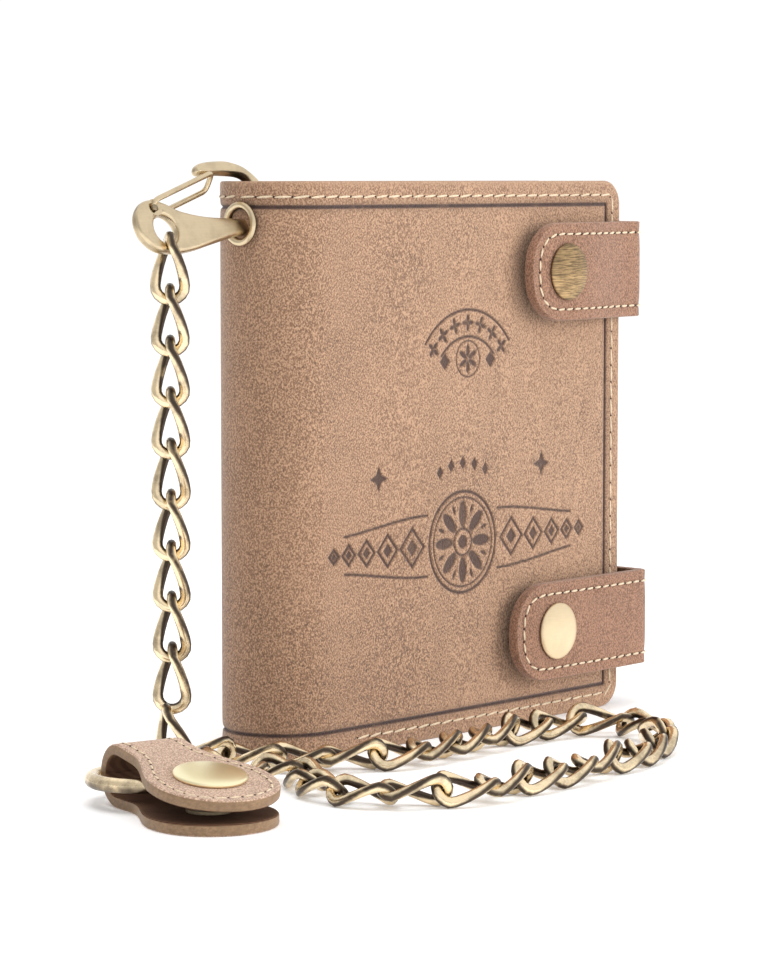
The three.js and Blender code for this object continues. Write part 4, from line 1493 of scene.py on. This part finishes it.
def soft_light(name, place, target, size, power, colour=(1.0, 1.0, 1.0)):
    lamp = bpy.data.lights.new(name, "AREA")
    lamp.shape = "RECTANGLE"
    lamp.size, lamp.size_y = size
    lamp.energy = power
    lamp.color = colour
    light = bpy.data.objects.new(name, lamp)
    light.location = place
    light.rotation_euler = (Vector(target) - Vector(place)).to_track_quat("-Z", "Y").to_euler()
    light.visible_glossy = False
    bpy.context.scene.collection.objects.link(light)


class CHAINWALLET_OT_stage(bpy.types.Operator):
    """Camera, pale floor and soft studio light"""

    bl_idname = "chain_wallet.stage"
    bl_label = "Stage"

    def execute(self, context):
        scene = context.scene
        scene.view_settings.view_transform = "Standard"
        camera = bpy.data.cameras.new("camera")
        camera.sensor_fit = "VERTICAL"
        camera.sensor_height = 36.0
        camera.lens = CAMERA_LENS
        camera.clip_start = 0.01
        eye = bpy.data.objects.new("camera", camera)
        eye.location = TO_PART @ CAMERA_PLACE
        eye.rotation_euler = (math.pi / 2 - CAMERA_PITCH, 0.0, -CAMERA_YAW)
        scene.collection.objects.link(eye)
        scene.camera = eye

        bm = bmesh.new()
        bmesh.ops.create_grid(bm, x_segments=1, y_segments=1, size=6.0)
        mesh = bpy.data.meshes.new("floor")
        bm.to_mesh(mesh)
        bm.free()
        floor = bpy.data.objects.new("floor", mesh)
        scene.collection.objects.link(floor)
        paper = Finish("pale_floor")
        grain = paper.noise(40.0, 2.0)
        mesh.materials.append(paper.surface(grain.blend((0.93, 0.93, 0.93), (0.95, 0.95, 0.95)), 0.7,
                                            Specular_IOR_Level=0.1, Emission_Color=(1.0, 1.0, 1.0, 1.0),
                                            Emission_Strength=0.12))

        world = bpy.data.worlds.new("studio")
        scene.world = world
        world.use_nodes = True
        background = world.node_tree.nodes["Background"]
        background.inputs["Color"].default_value = (1.0, 1.0, 1.0, 1.0)
        background.inputs["Strength"].default_value = 1.06
        sky = Wire(world.node_tree, None)
        look = sky.node("ShaderNodeTexCoord")
        x_part = sky.node("ShaderNodeSeparateXYZ", None, {"Vector": look}, 0)
        y_part = sky.node("ShaderNodeSeparateXYZ", None, {"Vector": look}, 1)
        left = (y_part * 0.35 - x_part * 0.94).ramp(0.3, 0.8)
        behind = (-0.9 * y_part - x_part * 0.35).ramp(0.86, 0.97) * 0.3
        tone = (left * 0.5 + behind).blend((1.0, 1.0, 1.0), (0.16, 0.155, 0.15))
        world.node_tree.links.new(tone.socket, background.inputs["Color"])
        soft_light("key", (0.75, -1.2, 0.4), (0, 0, 0.05), (0.9, 0.9), 12.5)
        soft_light("top", (-0.35, -0.1, 1.2), (-0.05, 0, 0), (0.8, 0.8), 6.0)
        return {"FINISHED"}


PIECES = (
    CHAINWALLET_OT_stage,
    CHAINWALLET_OT_chain,
    CHAINWALLET_OT_shell,
    CHAINWALLET_OT_cover_seams,
    CHAINWALLET_OT_straps,
    CHAINWALLET_OT_caps,
    CHAINWALLET_OT_eyelet,
    CHAINWALLET_OT_hook,
    CHAINWALLET_OT_tab,
    CHAINWALLET_OT_inside,
    CHAINWALLET_OT_rivets,
)


class CHAINWALLET_PT_pieces(bpy.types.Panel):
    """Lists the wallet's pieces and settings"""

    bl_idname = "CHAINWALLET_PT_pieces"
    bl_label = "Chain wallet"
    bl_space_type = "VIEW_3D"
    bl_region_type = "UI"
    bl_category = "Chain wallet"

    def draw(self, context):
        for group in (context.scene.chain_wallet_sizes, context.scene.chain_wallet_colours):
            box = self.layout.box()
            for name in group.__annotations__:
                box.prop(group, name)
        for piece in PIECES:
            self.layout.operator(piece.bl_idname)


CLASSES = (ChainWalletSizes, ChainWalletColours, *PIECES, CHAINWALLET_PT_pieces)


def register():
    for cls in CLASSES:
        bpy.utils.register_class(cls)
    bpy.types.Scene.chain_wallet_sizes = bpy.props.PointerProperty(type=ChainWalletSizes)
    bpy.types.Scene.chain_wallet_colours = bpy.props.PointerProperty(type=ChainWalletColours)


def unregister():
    del bpy.types.Scene.chain_wallet_colours
    del bpy.types.Scene.chain_wallet_sizes
    for cls in reversed(CLASSES):
        bpy.utils.unregister_class(cls)


def main():
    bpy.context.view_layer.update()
    register()
    for piece in PIECES:
        group, name = piece.bl_idname.split(".")
        getattr(getattr(bpy.ops, group), name)()


if __name__ == "__main__":
    main()
